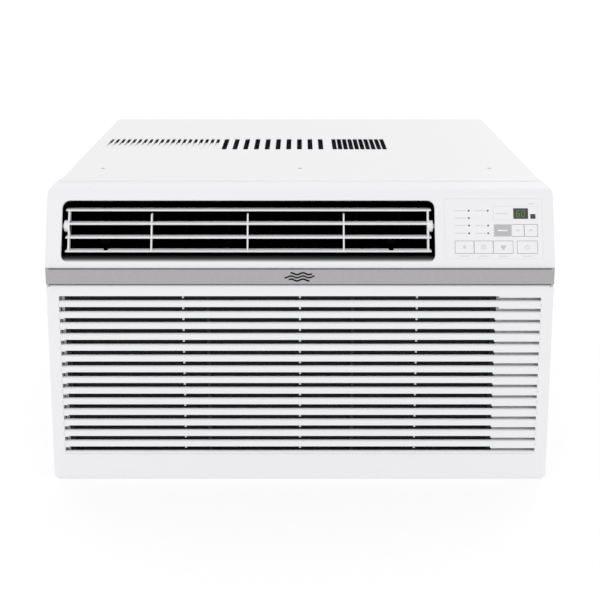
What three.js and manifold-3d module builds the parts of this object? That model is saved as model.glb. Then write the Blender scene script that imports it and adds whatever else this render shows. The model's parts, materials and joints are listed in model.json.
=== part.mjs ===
// A window air conditioner: steel case on a base pan, moulded front with a tilting louvre grid, a hinged
// intake grille and a slide-out filter, and the refrigeration set, fan motor and controls inside.
// Millimetres. +X is to the right of someone facing the front, +Y points outdoors, +Z is up.
// The origin is the middle of the underside.
import * as THREE from "three";
import { mergeVertices } from "three/addons/utils/BufferGeometryUtils.js";
import Module from "manifold-3d";

// ---------------------------------------------------------------- driving dimensions
const HALF_WIDTH = 300; // moulded front, half its width
const BAND_Y = -283; // face of the trim band, the foremost surface
const BACK_Y = 283; // rear edge of the case
const PANEL_Y = -281; // face of the intake grille and foot of the sloped head
const SEAM_Y = -212; // where the moulded front meets the steel case
const CASE_HALF = 294; // steel case, half its width
const CASE_TOP = 358.5;
const SHEET = 1.2; // steel sheet of the case
const WALL = 3; // moulded wall
const GAP = 0.3; // between pieces that touch
const HEAD_CORNER = 14; // radius of the head's upper corners
const BAND_LOW = 248;
const BAND_HIGH = 267.8;
const HEAD_LOW = 248; // underside of the head
const CREASE = { y: -246, z: 355 }; // where the slope turns into the top
const SLOPE_FOOT = { y: PANEL_Y, z: 268.2 };
const SLOPE_RUN = CREASE.y - SLOPE_FOOT.y;
const SLOPE_RISE = CREASE.z - SLOPE_FOOT.z;
const SLOPE_LENGTH = Math.hypot(SLOPE_RUN, SLOPE_RISE);
const SLOPE_TURN = Math.atan2(SLOPE_RISE, SLOPE_RUN); // turns local y up the slope, local z out of it

// Outlet, measured across the width and up the slope.
const OUTLET = { left: -281.7, right: 159.5, low: 9.8, high: 80.7, floor: 277, ceiling: 343 };
const OUTLET_MIDDLE = (OUTLET.left + OUTLET.right) / 2;
const DUCT_BACK = -158.6;

// Louvre grid: four blades on one tilting frame.
const GRID_AXIS = { y: -252.7, z: 311.9, ribShift: -1, ribSpread: 114, plateSpread: 213, pinRadius: 3 };
const BLADE = { count: 4, pitch: 16.4, depth: 12, thickness: 2.2, middleUp: 44.3, recess: 4, half: 216.5 };
const TAB_SPREAD = 169.4; // finger tabs from the middle of the outlet

// Upright vanes behind the grid.
const VANE = { perSide: 4, pitch: 52, firstOff: 26, axisY: -208, depth: 28, low: 279, high: 341, thick: 1.6 };
const VANE_PIN = 2;
const LINK = { y: -218, low: 292, high: 295, pin: 1.4 };

// Intake grille.
const HINGE = { y: -278.5, z: 245.2, barrel: 2.5, lugX: 297.4, lugHalf: 1.9, lug: 2.1, pin: 0.9, pinHalf: 6.6 };
const GRILLE_LOW = 0.5;
const SLOT = { count: 15, pitch: 13.6, top: 230.9, height: 5.6, half: 288 };
const SLAT_BACK = -270.5;
const GRILLE_RIBS = [-139, 0, 139];

// Filter, in front of the face plate of the front frame.
const FILTER = { left: -283, right: 236, low: 14, high: 235, front: -266.3, back: -262 };
const FACE_PLATE = { front: -260.5, back: -257.5 };
const RING_FLOOR = 5; // inside of the ring behind the intake grille, at the bottom

// Fan shaft line, common to the blower and the condenser fan.
const SHAFT = { x: -60, z: 168, radius: 6 };
const COMPRESSOR = { x: 200, y: 60, radius: 62, low: 27.3, high: 243 };

// Control area on the slope: x across, v up the slope.
const OVERLAY = { left: 170.8, right: 286.5, low: 10.9, high: 82.5, recess: 1.2 };
const KEY_ROW = { low: 17.3, high: 31.8 };
const TEMP_ROW = { low: 37.5, high: 51.5 };
const KEYS = {
  mode_button: [183.0, 204.7, KEY_ROW],
  timer_button: [205.5, 227.4, KEY_ROW],
  fan_speed_button: [228.2, 250.9, KEY_ROW],
  power_button: [256.2, 279.7, KEY_ROW],
  temp_down_button: [250.1, 264.3, TEMP_ROW],
  temp_up_button: [265.1, 280.3, TEMP_ROW],
};
const DISPLAY = { left: 252.5, right: 269.7, low: 58.5, high: 70.8 };
const RECEIVER = { left: 272.6, right: 278.4, low: 58.6, high: 63.9 };
const LAMP_COLUMNS = [
  { x: 199.7, heights: [68.1, 59.2, 50.3, 41.1] },
  { x: 222.2, heights: [68.1, 50.3, 41.1] },
];
const LAMP_RADIUS = 1;

// ---------------------------------------------------------------- materials
const FINISH = {
  whitePlastic: { color: 0xf3f3f5, roughness: 0.42, metalness: 0 },
  whiteSteel: { color: 0xeeeef1, roughness: 0.5, metalness: 0.1 },
  silver: { color: 0xa5a4a7, roughness: 0.35, metalness: 0.6 },
  blackPlastic: { color: 0x101113, roughness: 0.7, metalness: 0 },
  darkGlass: { color: 0x3c4a33, roughness: 0.15, metalness: 0 },
  galvanised: { color: 0xb9bcc0, roughness: 0.45, metalness: 0.85 },
  aluminium: { color: 0xc9ccd0, roughness: 0.4, metalness: 0.9 },
  copper: { color: 0xb87446, roughness: 0.35, metalness: 0.95 },
  blackSteel: { color: 0x1c1d20, roughness: 0.5, metalness: 0.3 },
  greyPlastic: { color: 0x8e9196, roughness: 0.6, metalness: 0 },
  rubber: { color: 0x1a1a1a, roughness: 0.9, metalness: 0 },
  circuitBoard: { color: 0x2f6a3a, roughness: 0.6, metalness: 0 },
  filterNet: { color: 0x5c6064, roughness: 0.9, metalness: 0 },
  steel: { color: 0xc8c8c8, roughness: 0.3, metalness: 1 },
};
const materials = Object.fromEntries(
  Object.entries(FINISH).map(([name, look]) => [name, new THREE.MeshStandardMaterial({ name, ...look })]),
);

// ---------------------------------------------------------------- solids from three.js geometry
const wasm = await Module();
wasm.setup();

function solidOf(geometry) {
  const bare = geometry.index ? geometry.toNonIndexed() : geometry.clone();
  bare.deleteAttribute("normal");
  bare.deleteAttribute("uv");
  const merged = mergeVertices(bare, 1e-4);
  const triangles = new Uint32Array(merged.index.array);
  const build = () =>
    new wasm.Manifold(
      new wasm.Mesh({ numProp: 3, vertProperties: merged.attributes.position.array, triVerts: triangles }),
    );
  const made = build();
  if (made.volume() > 0) return made;
  for (let i = 0; i < triangles.length; i += 3) {
    [triangles[i + 1], triangles[i + 2]] = [triangles[i + 2], triangles[i + 1]];
  }
  return build();
}

function geometryOf(solid) {
  const mesh = solid.getMesh();
  const geometry = new THREE.BufferGeometry();
  geometry.setAttribute("position", new THREE.BufferAttribute(new Float32Array(mesh.vertProperties), 3));
  geometry.setIndex(new THREE.BufferAttribute(new Uint32Array(mesh.triVerts), 1));
  geometry.computeVertexNormals();
  return geometry;
}

const join = (...solids) => solids.flat().reduce((whole, next) => whole.add(next));
const cut = (solid, ...tools) => tools.flat().reduce((left, tool) => left.subtract(tool), solid);

function box(low, high) {
  const size = high.map((value, i) => value - low[i]);
  const geometry = new THREE.BoxGeometry(...size);
  geometry.translate(...high.map((value, i) => (value + low[i]) / 2));
  return solidOf(geometry);
}

// How an outline's two coordinates and its depth lie in space for a prism along each axis.
const ALONG = {
  x: new THREE.Matrix4().makeBasis(new THREE.Vector3(0, 1, 0), new THREE.Vector3(0, 0, 1), new THREE.Vector3(1, 0, 0)),
  y: new THREE.Matrix4().makeBasis(new THREE.Vector3(1, 0, 0), new THREE.Vector3(0, 0, 1), new THREE.Vector3(0, -1, 0)),
  z: new THREE.Matrix4(),
};

// A straight prism. The outline is (y, z) along x, (x, z) along y and (x, y) along z.
function prism(axis, outline, from, to, curveSegments = 4) {
  const shape = outline instanceof THREE.Shape ? outline : new THREE.Shape(outline.map((p) => new THREE.Vector2(...p)));
  const geometry = new THREE.ExtrudeGeometry(shape, { depth: to - from, bevelEnabled: false, curveSegments });
  geometry.translate(0, 0, axis === "y" ? -to : from);
  geometry.applyMatrix4(ALONG[axis]);
  return solidOf(geometry);
}

function circle(a, b, radius, sides) {
  return Array.from({ length: sides }, (_, i) => {
    const turn = (2 * Math.PI * (i + 0.5)) / sides;
    return [a + radius * Math.cos(turn), b + radius * Math.sin(turn)];
  });
}

const rod = (axis, a, b, radius, from, to, sides = 12) => prism(axis, circle(a, b, radius, sides), from, to);

// A rectangle with rounded corners, given as low-left, low-right, high-right and high-left radii.
function roundedRectangle(a0, b0, a1, b1, [r0, r1, r2, r3]) {
  const shape = new THREE.Shape();
  shape.moveTo(a0 + r0, b0);
  shape.lineTo(a1 - r1, b0);
  if (r1) shape.absarc(a1 - r1, b0 + r1, r1, -Math.PI / 2, 0);
  shape.lineTo(a1, b1 - r2);
  if (r2) shape.absarc(a1 - r2, b1 - r2, r2, 0, Math.PI / 2);
  shape.lineTo(a0 + r3, b1);
  if (r3) shape.absarc(a0 + r3, b1 - r3, r3, Math.PI / 2, Math.PI);
  shape.lineTo(a0, b0 + r0);
  if (r0) shape.absarc(a0 + r0, b0 + r0, r0, Math.PI, Math.PI * 1.5);
  return shape;
}

// A solid of revolution about the shaft line (axis y) or about an upright line (axis z).
function turned(axis, profile, sides, [a, b]) {
  const geometry = new THREE.LatheGeometry(profile.map((p) => new THREE.Vector2(...p)), sides);
  if (axis === "z") geometry.rotateX(Math.PI / 2);
  const [x, y, z] = axis === "z" ? [a, b, 0] : [a, 0, b];
  geometry.translate(x, y, z);
  return solidOf(geometry);
}

// A round tube that follows its points in a smooth curve.
function pipe(points, radius, steps) {
  const path = new THREE.CatmullRomCurve3(points.map((p) => new THREE.Vector3(...p)), false, "catmullrom", 0.5);
  const section = new THREE.Shape(circle(0, 0, radius, 6).map((p) => new THREE.Vector2(...p)));
  return solidOf(new THREE.ExtrudeGeometry(section, { extrudePath: path, steps, bevelEnabled: false }));
}

const root = new THREE.Group();
const slope = new THREE.Group(); // local x across, y up the slope, z out of it
slope.position.set(0, SLOPE_FOOT.y, SLOPE_FOOT.z);
slope.rotation.x = SLOPE_TURN;
root.add(slope);

function place(name, material, solid, parent = root, position = [0, 0, 0]) {
  const mesh = new THREE.Mesh(geometryOf(solid), materials[material]);
  mesh.name = name;
  mesh.position.set(...position);
  parent.add(mesh);
}

// Carries a solid from the slope's coordinates to the object's, for cuts in the front frame.
function fromSlope(solid) {
  const geometry = geometryOf(solid);
  geometry.rotateX(SLOPE_TURN);
  geometry.translate(0, SLOPE_FOOT.y, SLOPE_FOOT.z);
  return solidOf(geometry);
}

const onSlope = (v, n) => ({
  y: SLOPE_FOOT.y + v * Math.cos(SLOPE_TURN) - n * Math.sin(SLOPE_TURN),
  z: SLOPE_FOOT.z + v * Math.sin(SLOPE_TURN) + n * Math.cos(SLOPE_TURN),
});

// ---------------------------------------------------------------- moulded front
function controlOpenings(clear, from, to) {
  const keys = Object.values(KEYS).map(([x0, x1, row]) =>
    box([x0 - clear, row.low - clear, from], [x1 + clear, row.high + clear, to]),
  );
  const windows = [DISPLAY, RECEIVER].map((w) => box([w.left - clear, w.low - clear, from], [w.right + clear, w.high + clear, to]));
  const lamps = LAMP_COLUMNS.flatMap(({ x, heights }) =>
    heights.map((v) => rod("z", x, v, LAMP_RADIUS + clear, from, to, 8)),
  );
  return [...keys, ...windows, ...lamps];
}

function makeFrontFrame() {
  const headRun = 5; // the crease is rounded over this much on each side
  const up = (distance) => onSlope(SLOPE_LENGTH - distance, 0);
  const outer = [
    [SEAM_Y, HEAD_LOW],
    [SEAM_Y, CASE_TOP + 0.5],
    [CREASE.y + headRun, CREASE.z + 0.5],
    [CREASE.y + 1, CREASE.z - 0.6],
    [up(headRun).y, up(headRun).z],
    [SLOPE_FOOT.y, SLOPE_FOOT.z],
    [PANEL_Y + 1, SLOPE_FOOT.z],
    [PANEL_Y + 1, HEAD_LOW],
  ];
  const inner = [
    [SEAM_Y + 1, HEAD_LOW + WALL],
    [SEAM_Y + 1, CASE_TOP - 2.5],
    [CREASE.y + 3.5, CREASE.z - WALL],
    [SLOPE_FOOT.y + 4, SLOPE_FOOT.z],
    [SLOPE_FOOT.y + 4, HEAD_LOW + WALL],
  ];
  const corners = (inset) =>
    roundedRectangle(
      -HALF_WIDTH + inset,
      0,
      HALF_WIDTH - inset,
      CASE_TOP + 0.5 - inset,
      [0, 0, HEAD_CORNER - inset, HEAD_CORNER - inset],
    );
  const bounds = (inset) => prism("y", corners(inset), BAND_Y - 5, SEAM_Y + 5);
  const head = prism("x", outer, -HALF_WIDTH, HALF_WIDTH).intersect(bounds(0));
  const hollow = prism("x", inner, -HALF_WIDTH + WALL, HALF_WIDTH - WALL).intersect(bounds(WALL));

  const outlet = fromSlope(
    prism("z", roundedRectangle(OUTLET.left, OUTLET.low, OUTLET.right, OUTLET.high, [7, 7, 7, 7]), -6, 3, 3),
  );
  const recess = fromSlope(
    box([OVERLAY.left, OVERLAY.low, -OVERLAY.recess], [OVERLAY.right, OVERLAY.high, 3]),
  );
  const bandRecess = [-1, 1].map((side) => {
    const [x0, x1] = [side * (HALF_WIDTH - 2.8), side * (HALF_WIDTH + 1)].sort((p, q) => p - q);
    return box([x0, BAND_Y, BAND_LOW - GAP], [x1, -261.7, BAND_HIGH + GAP]);
  });

  // Lower part: a ring that carries on the case, and ears for the grille's hinge pins.
  const ring = cut(
    box([-HALF_WIDTH, FACE_PLATE.front, 0], [HALF_WIDTH, SEAM_Y, HEAD_LOW + 1]),
    box([-HALF_WIDTH + WALL, FACE_PLATE.front - 1, RING_FLOOR], [HALF_WIDTH - WALL, SEAM_Y + 1, HEAD_LOW]),
  );
  const plan = prism("z", roundedRectangle(-HALF_WIDTH + GAP, PANEL_Y + GAP, HALF_WIDTH - GAP, -250, [5, 5, 0, 0]), 200, 260, 3);
  const lugs = [-1, 1].map((side) =>
    join(
      rod("x", HINGE.y, HINGE.z, HINGE.lug, side * HINGE.lugX - HINGE.lugHalf, side * HINGE.lugX + HINGE.lugHalf, 14),
      box(
        [side * HINGE.lugX - HINGE.lugHalf, HINGE.y - 1, HINGE.z - HINGE.lug],
        [side * HINGE.lugX + HINGE.lugHalf, HINGE.y + 8, HEAD_LOW + 1],
      ),
    ).intersect(plan),
  );
  const hooks = [-180, 0, 180].map((x) => box([x - 20, SEAM_Y - 10, 352], [x + 20, SEAM_Y + 16, CASE_TOP - SHEET - 1]));

  const shell = join(cut(head, hollow), ring, lugs, hooks);
  const done = cut(
    shell,
    outlet,
    recess,
    fromSlope(join(controlOpenings(0.4, -6, 3))),
    bandRecess,
    pinHoles(),
  );
  place("front_frame", "whitePlastic", done);
}

// Blind holes on the grille's hinge line, for the pins.
function pinHoles() {
  return [-1, 1].map((side) => {
    const [a, b] = [side * (HINGE.lugX - 12.5), side * (HINGE.lugX + 1.4)].sort((p, q) => p - q);
    return rod("x", HINGE.y, HINGE.z, HINGE.pin + GAP, a, b, 10);
  });
}

// Stands inside the ring of the front frame: the plate round the intake opening, the filter's rails and a blind wall.
function makeFilterHolder() {
  const [half, low, high] = [HALF_WIDTH - WALL - GAP, RING_FLOOR + GAP, HEAD_LOW - GAP];
  const plate = box([-half, FACE_PLATE.front, low], [half, FACE_PLATE.back, high]);
  const intake = box([-279, FACE_PLATE.front - 1, 18], [231, FACE_PLATE.back + 1, 231]);
  const latchHoles = [-1, 1].map((side) =>
    box([side * 293.5 - 3, FACE_PLATE.front - 1, 18], [side * 293.5 + 3, FACE_PLATE.back + 1, 30]),
  );
  const blindWall = box([240, -268.5, 12], [290, FACE_PLATE.front + 1, 236]);
  const leftRail = join(
    box([-290, -269.5, 8], [-284, FACE_PLATE.front + 1, 238]),
    box([-285, -269.5, 8], [-280.5, -267, 238]),
  );
  const rightLip = box([234, -269.5, 8], [242, -267, 238]);
  const filterStop = box([-290, -269.5, 237], [290, FACE_PLATE.front + 1, high]);
  place("filter_holder", "whitePlastic", cut(join(plate, blindWall, leftRail, rightLip, filterStop), intake, latchHoles));
}

function makeTrimBand() {
  const thick = 2.2;
  const outer = roundedRectangle(-HALF_WIDTH, BAND_Y, HALF_WIDTH, -262, [5, 5, 0, 0]);
  const inner = roundedRectangle(-HALF_WIDTH + thick, BAND_Y + thick, HALF_WIDTH - thick, -260, [1.5, 1.5, 0, 0]);
  place("trim_band", "silver", cut(prism("z", outer, BAND_LOW, BAND_HIGH), prism("z", inner, BAND_LOW - 1, BAND_HIGH + 1)));
}

function makeControls() {
  const sheet = box(
    [OVERLAY.left + GAP, OVERLAY.low + GAP, -OVERLAY.recess + 0.2],
    [OVERLAY.right - GAP, OVERLAY.high - GAP, -0.1],
  );
  place("control_overlay", "whitePlastic", cut(sheet, controlOpenings(0.3, -3, 2)), slope);
  const pane = (w) => box([w.left, w.low, -3.5], [w.right, w.high, -0.3]);
  place("display_window", "darkGlass", pane(DISPLAY), slope);
  place("remote_receiver", "blackPlastic", pane(RECEIVER), slope);

  const lampPlate = box([196.5, 38.5, -6.5], [225.5, 71, -5]);
  const lamps = LAMP_COLUMNS.flatMap(({ x, heights }) => heights.map((v) => rod("z", x, v, LAMP_RADIUS, -5.5, -0.1, 8)));
  place("indicator_lamps", "greyPlastic", join(lampPlate, lamps), slope);

  const boardFace = -10.8;
  place("display_board", "circuitBoard", box([176, 13, boardFace - 1.6], [284, 80, boardFace]), slope);

  for (const [name, [x0, x1, row]] of Object.entries(KEYS)) {
    const halfX = (x1 - x0) / 2;
    const halfV = (row.high - row.low) / 2;
    const cap = box([-halfX, -halfV, -5], [halfX, halfV, 0.15]);
    const stem = box([-2, -2, boardFace + 1.1], [2, 2, -4.5]);
    place(name, "whitePlastic", join(cap, stem), slope, [(x0 + x1) / 2, (row.low + row.high) / 2, 0]);
  }
}

// ---------------------------------------------------------------- air outlet
function makeAirDuct() {
  const outerX = [OUTLET.left - 3, OUTLET.right + 3];
  const shell = cut(
    box([outerX[0], -280, OUTLET.floor - 3], [outerX[1], DUCT_BACK, OUTLET.ceiling + 3]),
    box([OUTLET.left - 0.2, -285, OUTLET.floor], [OUTLET.right + 0.2, DUCT_BACK + 1, OUTLET.ceiling]),
  );
  const ahead = fromSlope(box([-HALF_WIDTH, -40, -WALL - 1.7], [HALF_WIDTH, 120, 60]));
  const gridHoles = rod("x", GRID_AXIS.y, GRID_AXIS.z, GRID_AXIS.pinRadius + 0.3, -HALF_WIDTH, HALF_WIDTH, 12);
  const vaneHoles = vaneSpots().map(({ x }) => rod("z", x, VANE.axisY, VANE_PIN + 0.3, OUTLET.floor - 5, OUTLET.ceiling + 5, 8));
  place("air_duct", "blackPlastic", cut(shell, ahead, gridHoles, vaneHoles));
}

function makeLouvreGrid() {
  const half = BLADE.half;
  const blades = Array.from({ length: BLADE.count }, (_, k) => {
    const front = onSlope(BLADE.middleUp + (1.5 - k) * BLADE.pitch, -BLADE.recess);
    const [y, z, t] = [front.y - GRID_AXIS.y, front.z - GRID_AXIS.z, BLADE.thickness / 2];
    return prism("x", [[y, z - t + 0.4], [y + 0.5, z - t], [y + BLADE.depth, z - t], [y + BLADE.depth, z + t], [y + 0.5, z + t], [y, z + t - 0.4]], -half, half);
  });
  const rib = (x, thick, depth, reach) => {
    const top = onSlope(BLADE.middleUp + reach * BLADE.pitch, -BLADE.recess);
    const low = onSlope(BLADE.middleUp - 1.5 * BLADE.pitch, -BLADE.recess);
    const [ty, tz] = [top.y - GRID_AXIS.y + 1.5, top.z - GRID_AXIS.z];
    const [ly, lz] = [low.y - GRID_AXIS.y + 1.5, low.z - GRID_AXIS.z];
    return prism("x", [[ly, lz], [ly + depth, lz], [ty + depth, tz], [ty, tz]], x - thick / 2, x + thick / 2);
  };
  const ribs = [-1, 0, 1].map((side) => rib(GRID_AXIS.ribShift + side * GRID_AXIS.ribSpread, 1.8, 7, 1.2));
  const plates = [-1, 1].map((side) => rib(side * GRID_AXIS.plateSpread, 2.2, 9, 1.5));
  const bosses = [-1, 1].map((side) => {
    const [a, b] = [side * (GRID_AXIS.plateSpread - 1), side * (half + 2)].sort((p, q) => p - q);
    const [c, d] = [side * half, side * (half + 6.5)].sort((p, q) => p - q);
    return join(rod("x", 0, 0, 6.7, a, b, 16), rod("x", 0, 0, GRID_AXIS.pinRadius, c, d, 10));
  });
  const notches = [-1, 1].map((side) => {
    const front = onSlope(BLADE.middleUp - 1.5 * BLADE.pitch, -BLADE.recess);
    const [x, y, z] = [side * TAB_SPREAD, front.y - GRID_AXIS.y + 4.6, front.z - GRID_AXIS.z];
    const half = [[-2.7, BLADE.depth], [-2.7, 0], [-1.6, -2.2]];
    const outline = [...half, ...half.map(([across, back]) => [-across, back]).reverse()];
    return prism("z", outline.map(([across, back]) => [x + across, y + back]), z - 3, z + 3);
  });
  const grid = cut(join(blades, ribs, plates, bosses), notches);
  place("louvre_grid", "whitePlastic", grid, root, [OUTLET_MIDDLE, GRID_AXIS.y, GRID_AXIS.z]);
}

// Where each upright vane stands: four on either side of the middle of the outlet.
function vaneSpots() {
  return ["left", "right"].flatMap((side) => {
    const sign = side === "left" ? -1 : 1;
    return Array.from({ length: VANE.perSide }, (_, i) => ({
      name: `vane_${side}_${i + 1}`,
      side,
      x: OUTLET_MIDDLE + sign * (VANE.firstOff + i * VANE.pitch),
    }));
  });
}

function makeVanes() {
  const front = LINK.y - 4 - VANE.axisY;
  const t = VANE.thick / 2;
  const blade = box([-t, front, VANE.low], [t, front + VANE.depth, VANE.high]);
  const notch = box([-5, front - 1, LINK.low - 1.5], [5, LINK.y + 4.6 - VANE.axisY, LINK.high + 1.5]);
  const linkPin = rod("z", 0, LINK.y - VANE.axisY, LINK.pin, LINK.low - 2, LINK.high + 2, 8);
  const pivot = rod("z", 0, 0, VANE_PIN, OUTLET.floor - 2, OUTLET.ceiling + 2, 8);
  const vane = join(cut(blade, notch), linkPin, pivot);
  for (const { name, x } of vaneSpots()) place(name, "blackPlastic", vane, root, [x, VANE.axisY, 0]);

  for (const [side, sign] of [["left", -1], ["right", 1]]) {
    const xs = vaneSpots().filter((spot) => spot.side === side).map((spot) => spot.x);
    const tabX = OUTLET_MIDDLE + sign * TAB_SPREAD;
    const bar = box([Math.min(...xs) - 4, LINK.y - 3, LINK.low], [Math.max(...xs) + 4, LINK.y + 3, LINK.high]);
    const tab = join(
      box([tabX - 3, -250, LINK.low + 0.2], [tabX + 3, LINK.y, LINK.high - 0.2]),
      box([tabX - 4.5, -256, LINK.low - 1], [tabX + 4.5, -248, LINK.high + 0.8]),
    );
    const holes = xs.map((x) => rod("z", x, LINK.y, LINK.pin + GAP, LINK.low - 1, LINK.high + 1, 8));
    place(`vane_link_${side}`, "blackPlastic", cut(join(bar, tab), holes));
  }
}

// ---------------------------------------------------------------- intake grille and filter
function makeIntakeGrille() {
  const shellOuter = roundedRectangle(-HALF_WIDTH, PANEL_Y, HALF_WIDTH, -262, [5, 5, 0, 0]);
  const shellInner = roundedRectangle(-HALF_WIDTH + WALL, PANEL_Y + WALL, HALF_WIDTH - WALL, -255, [2, 2, 0, 0]);
  const top = HINGE.z;
  const shell = cut(prism("z", shellOuter, GRILLE_LOW, top, 3), prism("z", shellInner, GRILLE_LOW - 1, top + 1, 3));
  const corners = prism("y", roundedRectangle(-HALF_WIDTH, GRILLE_LOW, HALF_WIDTH, top, [6, 6, 0, 0]), -290, -250, 3);
  const barrel = rod("x", HINGE.y, HINGE.z, HINGE.barrel, -HALF_WIDTH + 2, HALF_WIDTH - 2, 14);
  const bottom = box([-HALF_WIDTH + 3, PANEL_Y + 1, GRILLE_LOW], [HALF_WIDTH - 3, -270, GRILLE_LOW + WALL]);

  const windowLow = SLOT.top - (SLOT.count - 1) * SLOT.pitch - SLOT.height / 2;
  const windowHigh = SLOT.top + SLOT.height / 2;
  const window = box([-SLOT.half, PANEL_Y - 1, windowLow], [SLOT.half, PANEL_Y + WALL + 1, windowHigh]);
  const face = SLOT.pitch - SLOT.height;
  const slats = Array.from({ length: SLOT.count - 1 }, (_, k) => {
    const low = SLOT.top + SLOT.height / 2 - (k + 1) * SLOT.pitch;
    const outline = [[PANEL_Y, low], [PANEL_Y + 3, low], [SLAT_BACK, low + face - 2.5], [SLAT_BACK, low + face], [PANEL_Y, low + face - 2]];
    return prism("x", outline, -SLOT.half - 1, SLOT.half + 1);
  });
  const ribs = GRILLE_RIBS.map((x) => box([x - 1, PANEL_Y + 2, windowLow - 4], [x + 1, SLAT_BACK, windowHigh + 4]));
  const ends = [-1, 1].map((side) => {
    const [a, b] = [side * SLOT.half, side * (SLOT.half + 2)].sort((p, q) => p - q);
    return box([a, PANEL_Y + 1, windowLow - 4], [b, SLAT_BACK, windowHigh + 4]);
  });
  const hooks = [-1, 1].map((side) => box([side * 293.5 - 2, PANEL_Y + 1, 20], [side * 293.5 + 2, -254, 28]));
  const lugNotches = [-1, 1].map((side) => {
    const [a, b] = [side * (HINGE.lugX - HINGE.lugHalf - 0.4), side * (HALF_WIDTH + 1)].sort((p, q) => p - q);
    return box([a, HINGE.y - HINGE.lug - 0.4, HINGE.z - HINGE.lug - 0.4], [b, -255, 250]);
  });
  const panel = cut(join(shell.intersect(corners), barrel), window);
  const hookRoots = [-1, 1].map((side) => {
    const [a, b] = [side * (SLOT.half + 2), side * (HALF_WIDTH - 2)].sort((p, q) => p - q);
    return box([a - 0.5, PANEL_Y + 1, 18], [b + 0.5, -276, 30]);
  });
  const grille = cut(join(panel, bottom.intersect(corners), slats, ribs, ends, hooks, hookRoots), lugNotches, pinHoles());
  place("intake_grille", "whitePlastic", grille);

  const pin = rod("x", 0, 0, HINGE.pin, -HINGE.pinHalf, HINGE.pinHalf, 8);
  for (const [name, side] of [["grille_hinge_pin_left", -1], ["grille_hinge_pin_right", 1]]) {
    place(name, "steel", pin, root, [side * (HINGE.lugX - 5.5), HINGE.y, HINGE.z]);
  }
}

function makeFilter() {
  const border = 8;
  const { left, right, low, high, front, back } = FILTER;
  const rim = cut(
    box([left, front, low], [right, back, high]),
    box([left + border, front - 1, low + border], [right - border, back + 1, high - border]),
  );
  const third = (right - left) / 3;
  const bars = [1, 2].map((i) => box([left + i * third - 2, front + 0.4, low + 2], [left + i * third + 2, back, high - 2]));
  const crossBar = box([left + 2, front + 0.4, (low + high) / 2 - 2], [right - 2, back, (low + high) / 2 + 2]);
  const grips = [left + 21, right - 32].map((x) => box([x, front - 1.3, high - 9], [x + 12, front + 1, high]));
  place("filter_frame", "greyPlastic", join(rim, bars, crossBar, grips));
  place("filter_net", "filterNet", box([left + 3, back + GAP, low + 3], [right - 3, back + 0.9, high - 3]));
}

// ---------------------------------------------------------------- case and base
const TOP_SLOTS = { low: 6.6, high: 94.8 };
const TOP_GROUPS = [
  { from: -273.6, pitch: 8.06, width: 4.6, count: 20 },
  { from: -109.2, pitch: 15, width: 6.8, count: 10 },
  { from: 45.4, pitch: 7.72, width: 6.1, count: 10 },
];
const RAIL_HOLES = { xs: [-252, 0, 242], y: -131, radius: 2.75 };
const SIDE_LOUVRES = { from: 50, pitch: 18, width: 7, count: 10, low: 120, high: 250 };
const CASE_SCREW = { y: -180, z: 13, hole: 2.3 };

function makeCase() {
  const front = SEAM_Y + 0.6;
  const outline = roundedRectangle(-CASE_HALF, 2, CASE_HALF, CASE_TOP, [0, 0, 4, 4]);
  const bore = roundedRectangle(-CASE_HALF + SHEET, 0, CASE_HALF - SHEET, CASE_TOP - SHEET, [0, 0, 2.8, 2.8]);
  const shell = cut(prism("y", outline, front, BACK_Y, 3), prism("y", bore, front - 1, BACK_Y - SHEET, 3));
  const rearWindow = box([-CASE_HALF + 14, BACK_Y - 5, -1], [CASE_HALF - 14, BACK_Y + 5, CASE_TOP - 12]);
  const slots = TOP_GROUPS.flatMap(({ from, pitch, width, count }) =>
    Array.from({ length: count }, (_, i) =>
      box([from + i * pitch, TOP_SLOTS.low, CASE_TOP - 3], [from + i * pitch + width, TOP_SLOTS.high, CASE_TOP + 3]),
    ),
  );
  const holes = RAIL_HOLES.xs.map((x) => rod("z", x, RAIL_HOLES.y, RAIL_HOLES.radius, CASE_TOP - 3, CASE_TOP + 3, 10));
  const louvres = Array.from({ length: SIDE_LOUVRES.count }, (_, i) => {
    const y = SIDE_LOUVRES.from + i * SIDE_LOUVRES.pitch;
    return box([-HALF_WIDTH, y, SIDE_LOUVRES.low], [HALF_WIDTH, y + SIDE_LOUVRES.width, SIDE_LOUVRES.high]);
  });
  const screws = rod("x", CASE_SCREW.y, CASE_SCREW.z, CASE_SCREW.hole, -HALF_WIDTH, HALF_WIDTH, 8);
  place("case", "whiteSteel", cut(shell, rearWindow, slots, holes, louvres, screws));
}

function makeBasePan() {
  const [x, front, back, high, thick] = [291.5, SEAM_Y + 2, BACK_Y - 2, 22, 1.6];
  const tray = cut(box([-x, front, 0], [x, back, high]), box([-x + thick, front + thick, thick], [x - thick, back - thick, high + 1]));
  const drain = rod("z", -240, 200, 8, -1, 5, 12);
  const screws = rod("x", CASE_SCREW.y, CASE_SCREW.z, CASE_SCREW.hole, -HALF_WIDTH, HALF_WIDTH, 8);
  const rearVent = box([-x + 20, back - 3, 6], [x - 20, back + 1, high + 1]);
  place("base_pan", "galvanised", cut(tray, drain, screws, rearVent));
  const plug = join(rod("z", 0, 0, 7.6, 0.3, 2.4, 12), rod("z", 0, 0, 11, 2, 4.5, 12));
  place("drain_plug", "rubber", plug, root, [-240, 200, 0]);
}

function makeCaseScrews() {
  const head = rod("x", 0, 0, 4.4, CASE_HALF + GAP, CASE_HALF + 2.4, 12);
  const shank = rod("x", 0, 0, 1.9, 284, CASE_HALF + 1, 8);
  const screw = join(head, shank);
  place("case_screw_right", "steel", screw, root, [0, CASE_SCREW.y, CASE_SCREW.z]);
  const mirrored = solidOf(geometryOf(screw).rotateZ(Math.PI));
  place("case_screw_left", "steel", mirrored, root, [0, CASE_SCREW.y, CASE_SCREW.z]);
}

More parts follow.
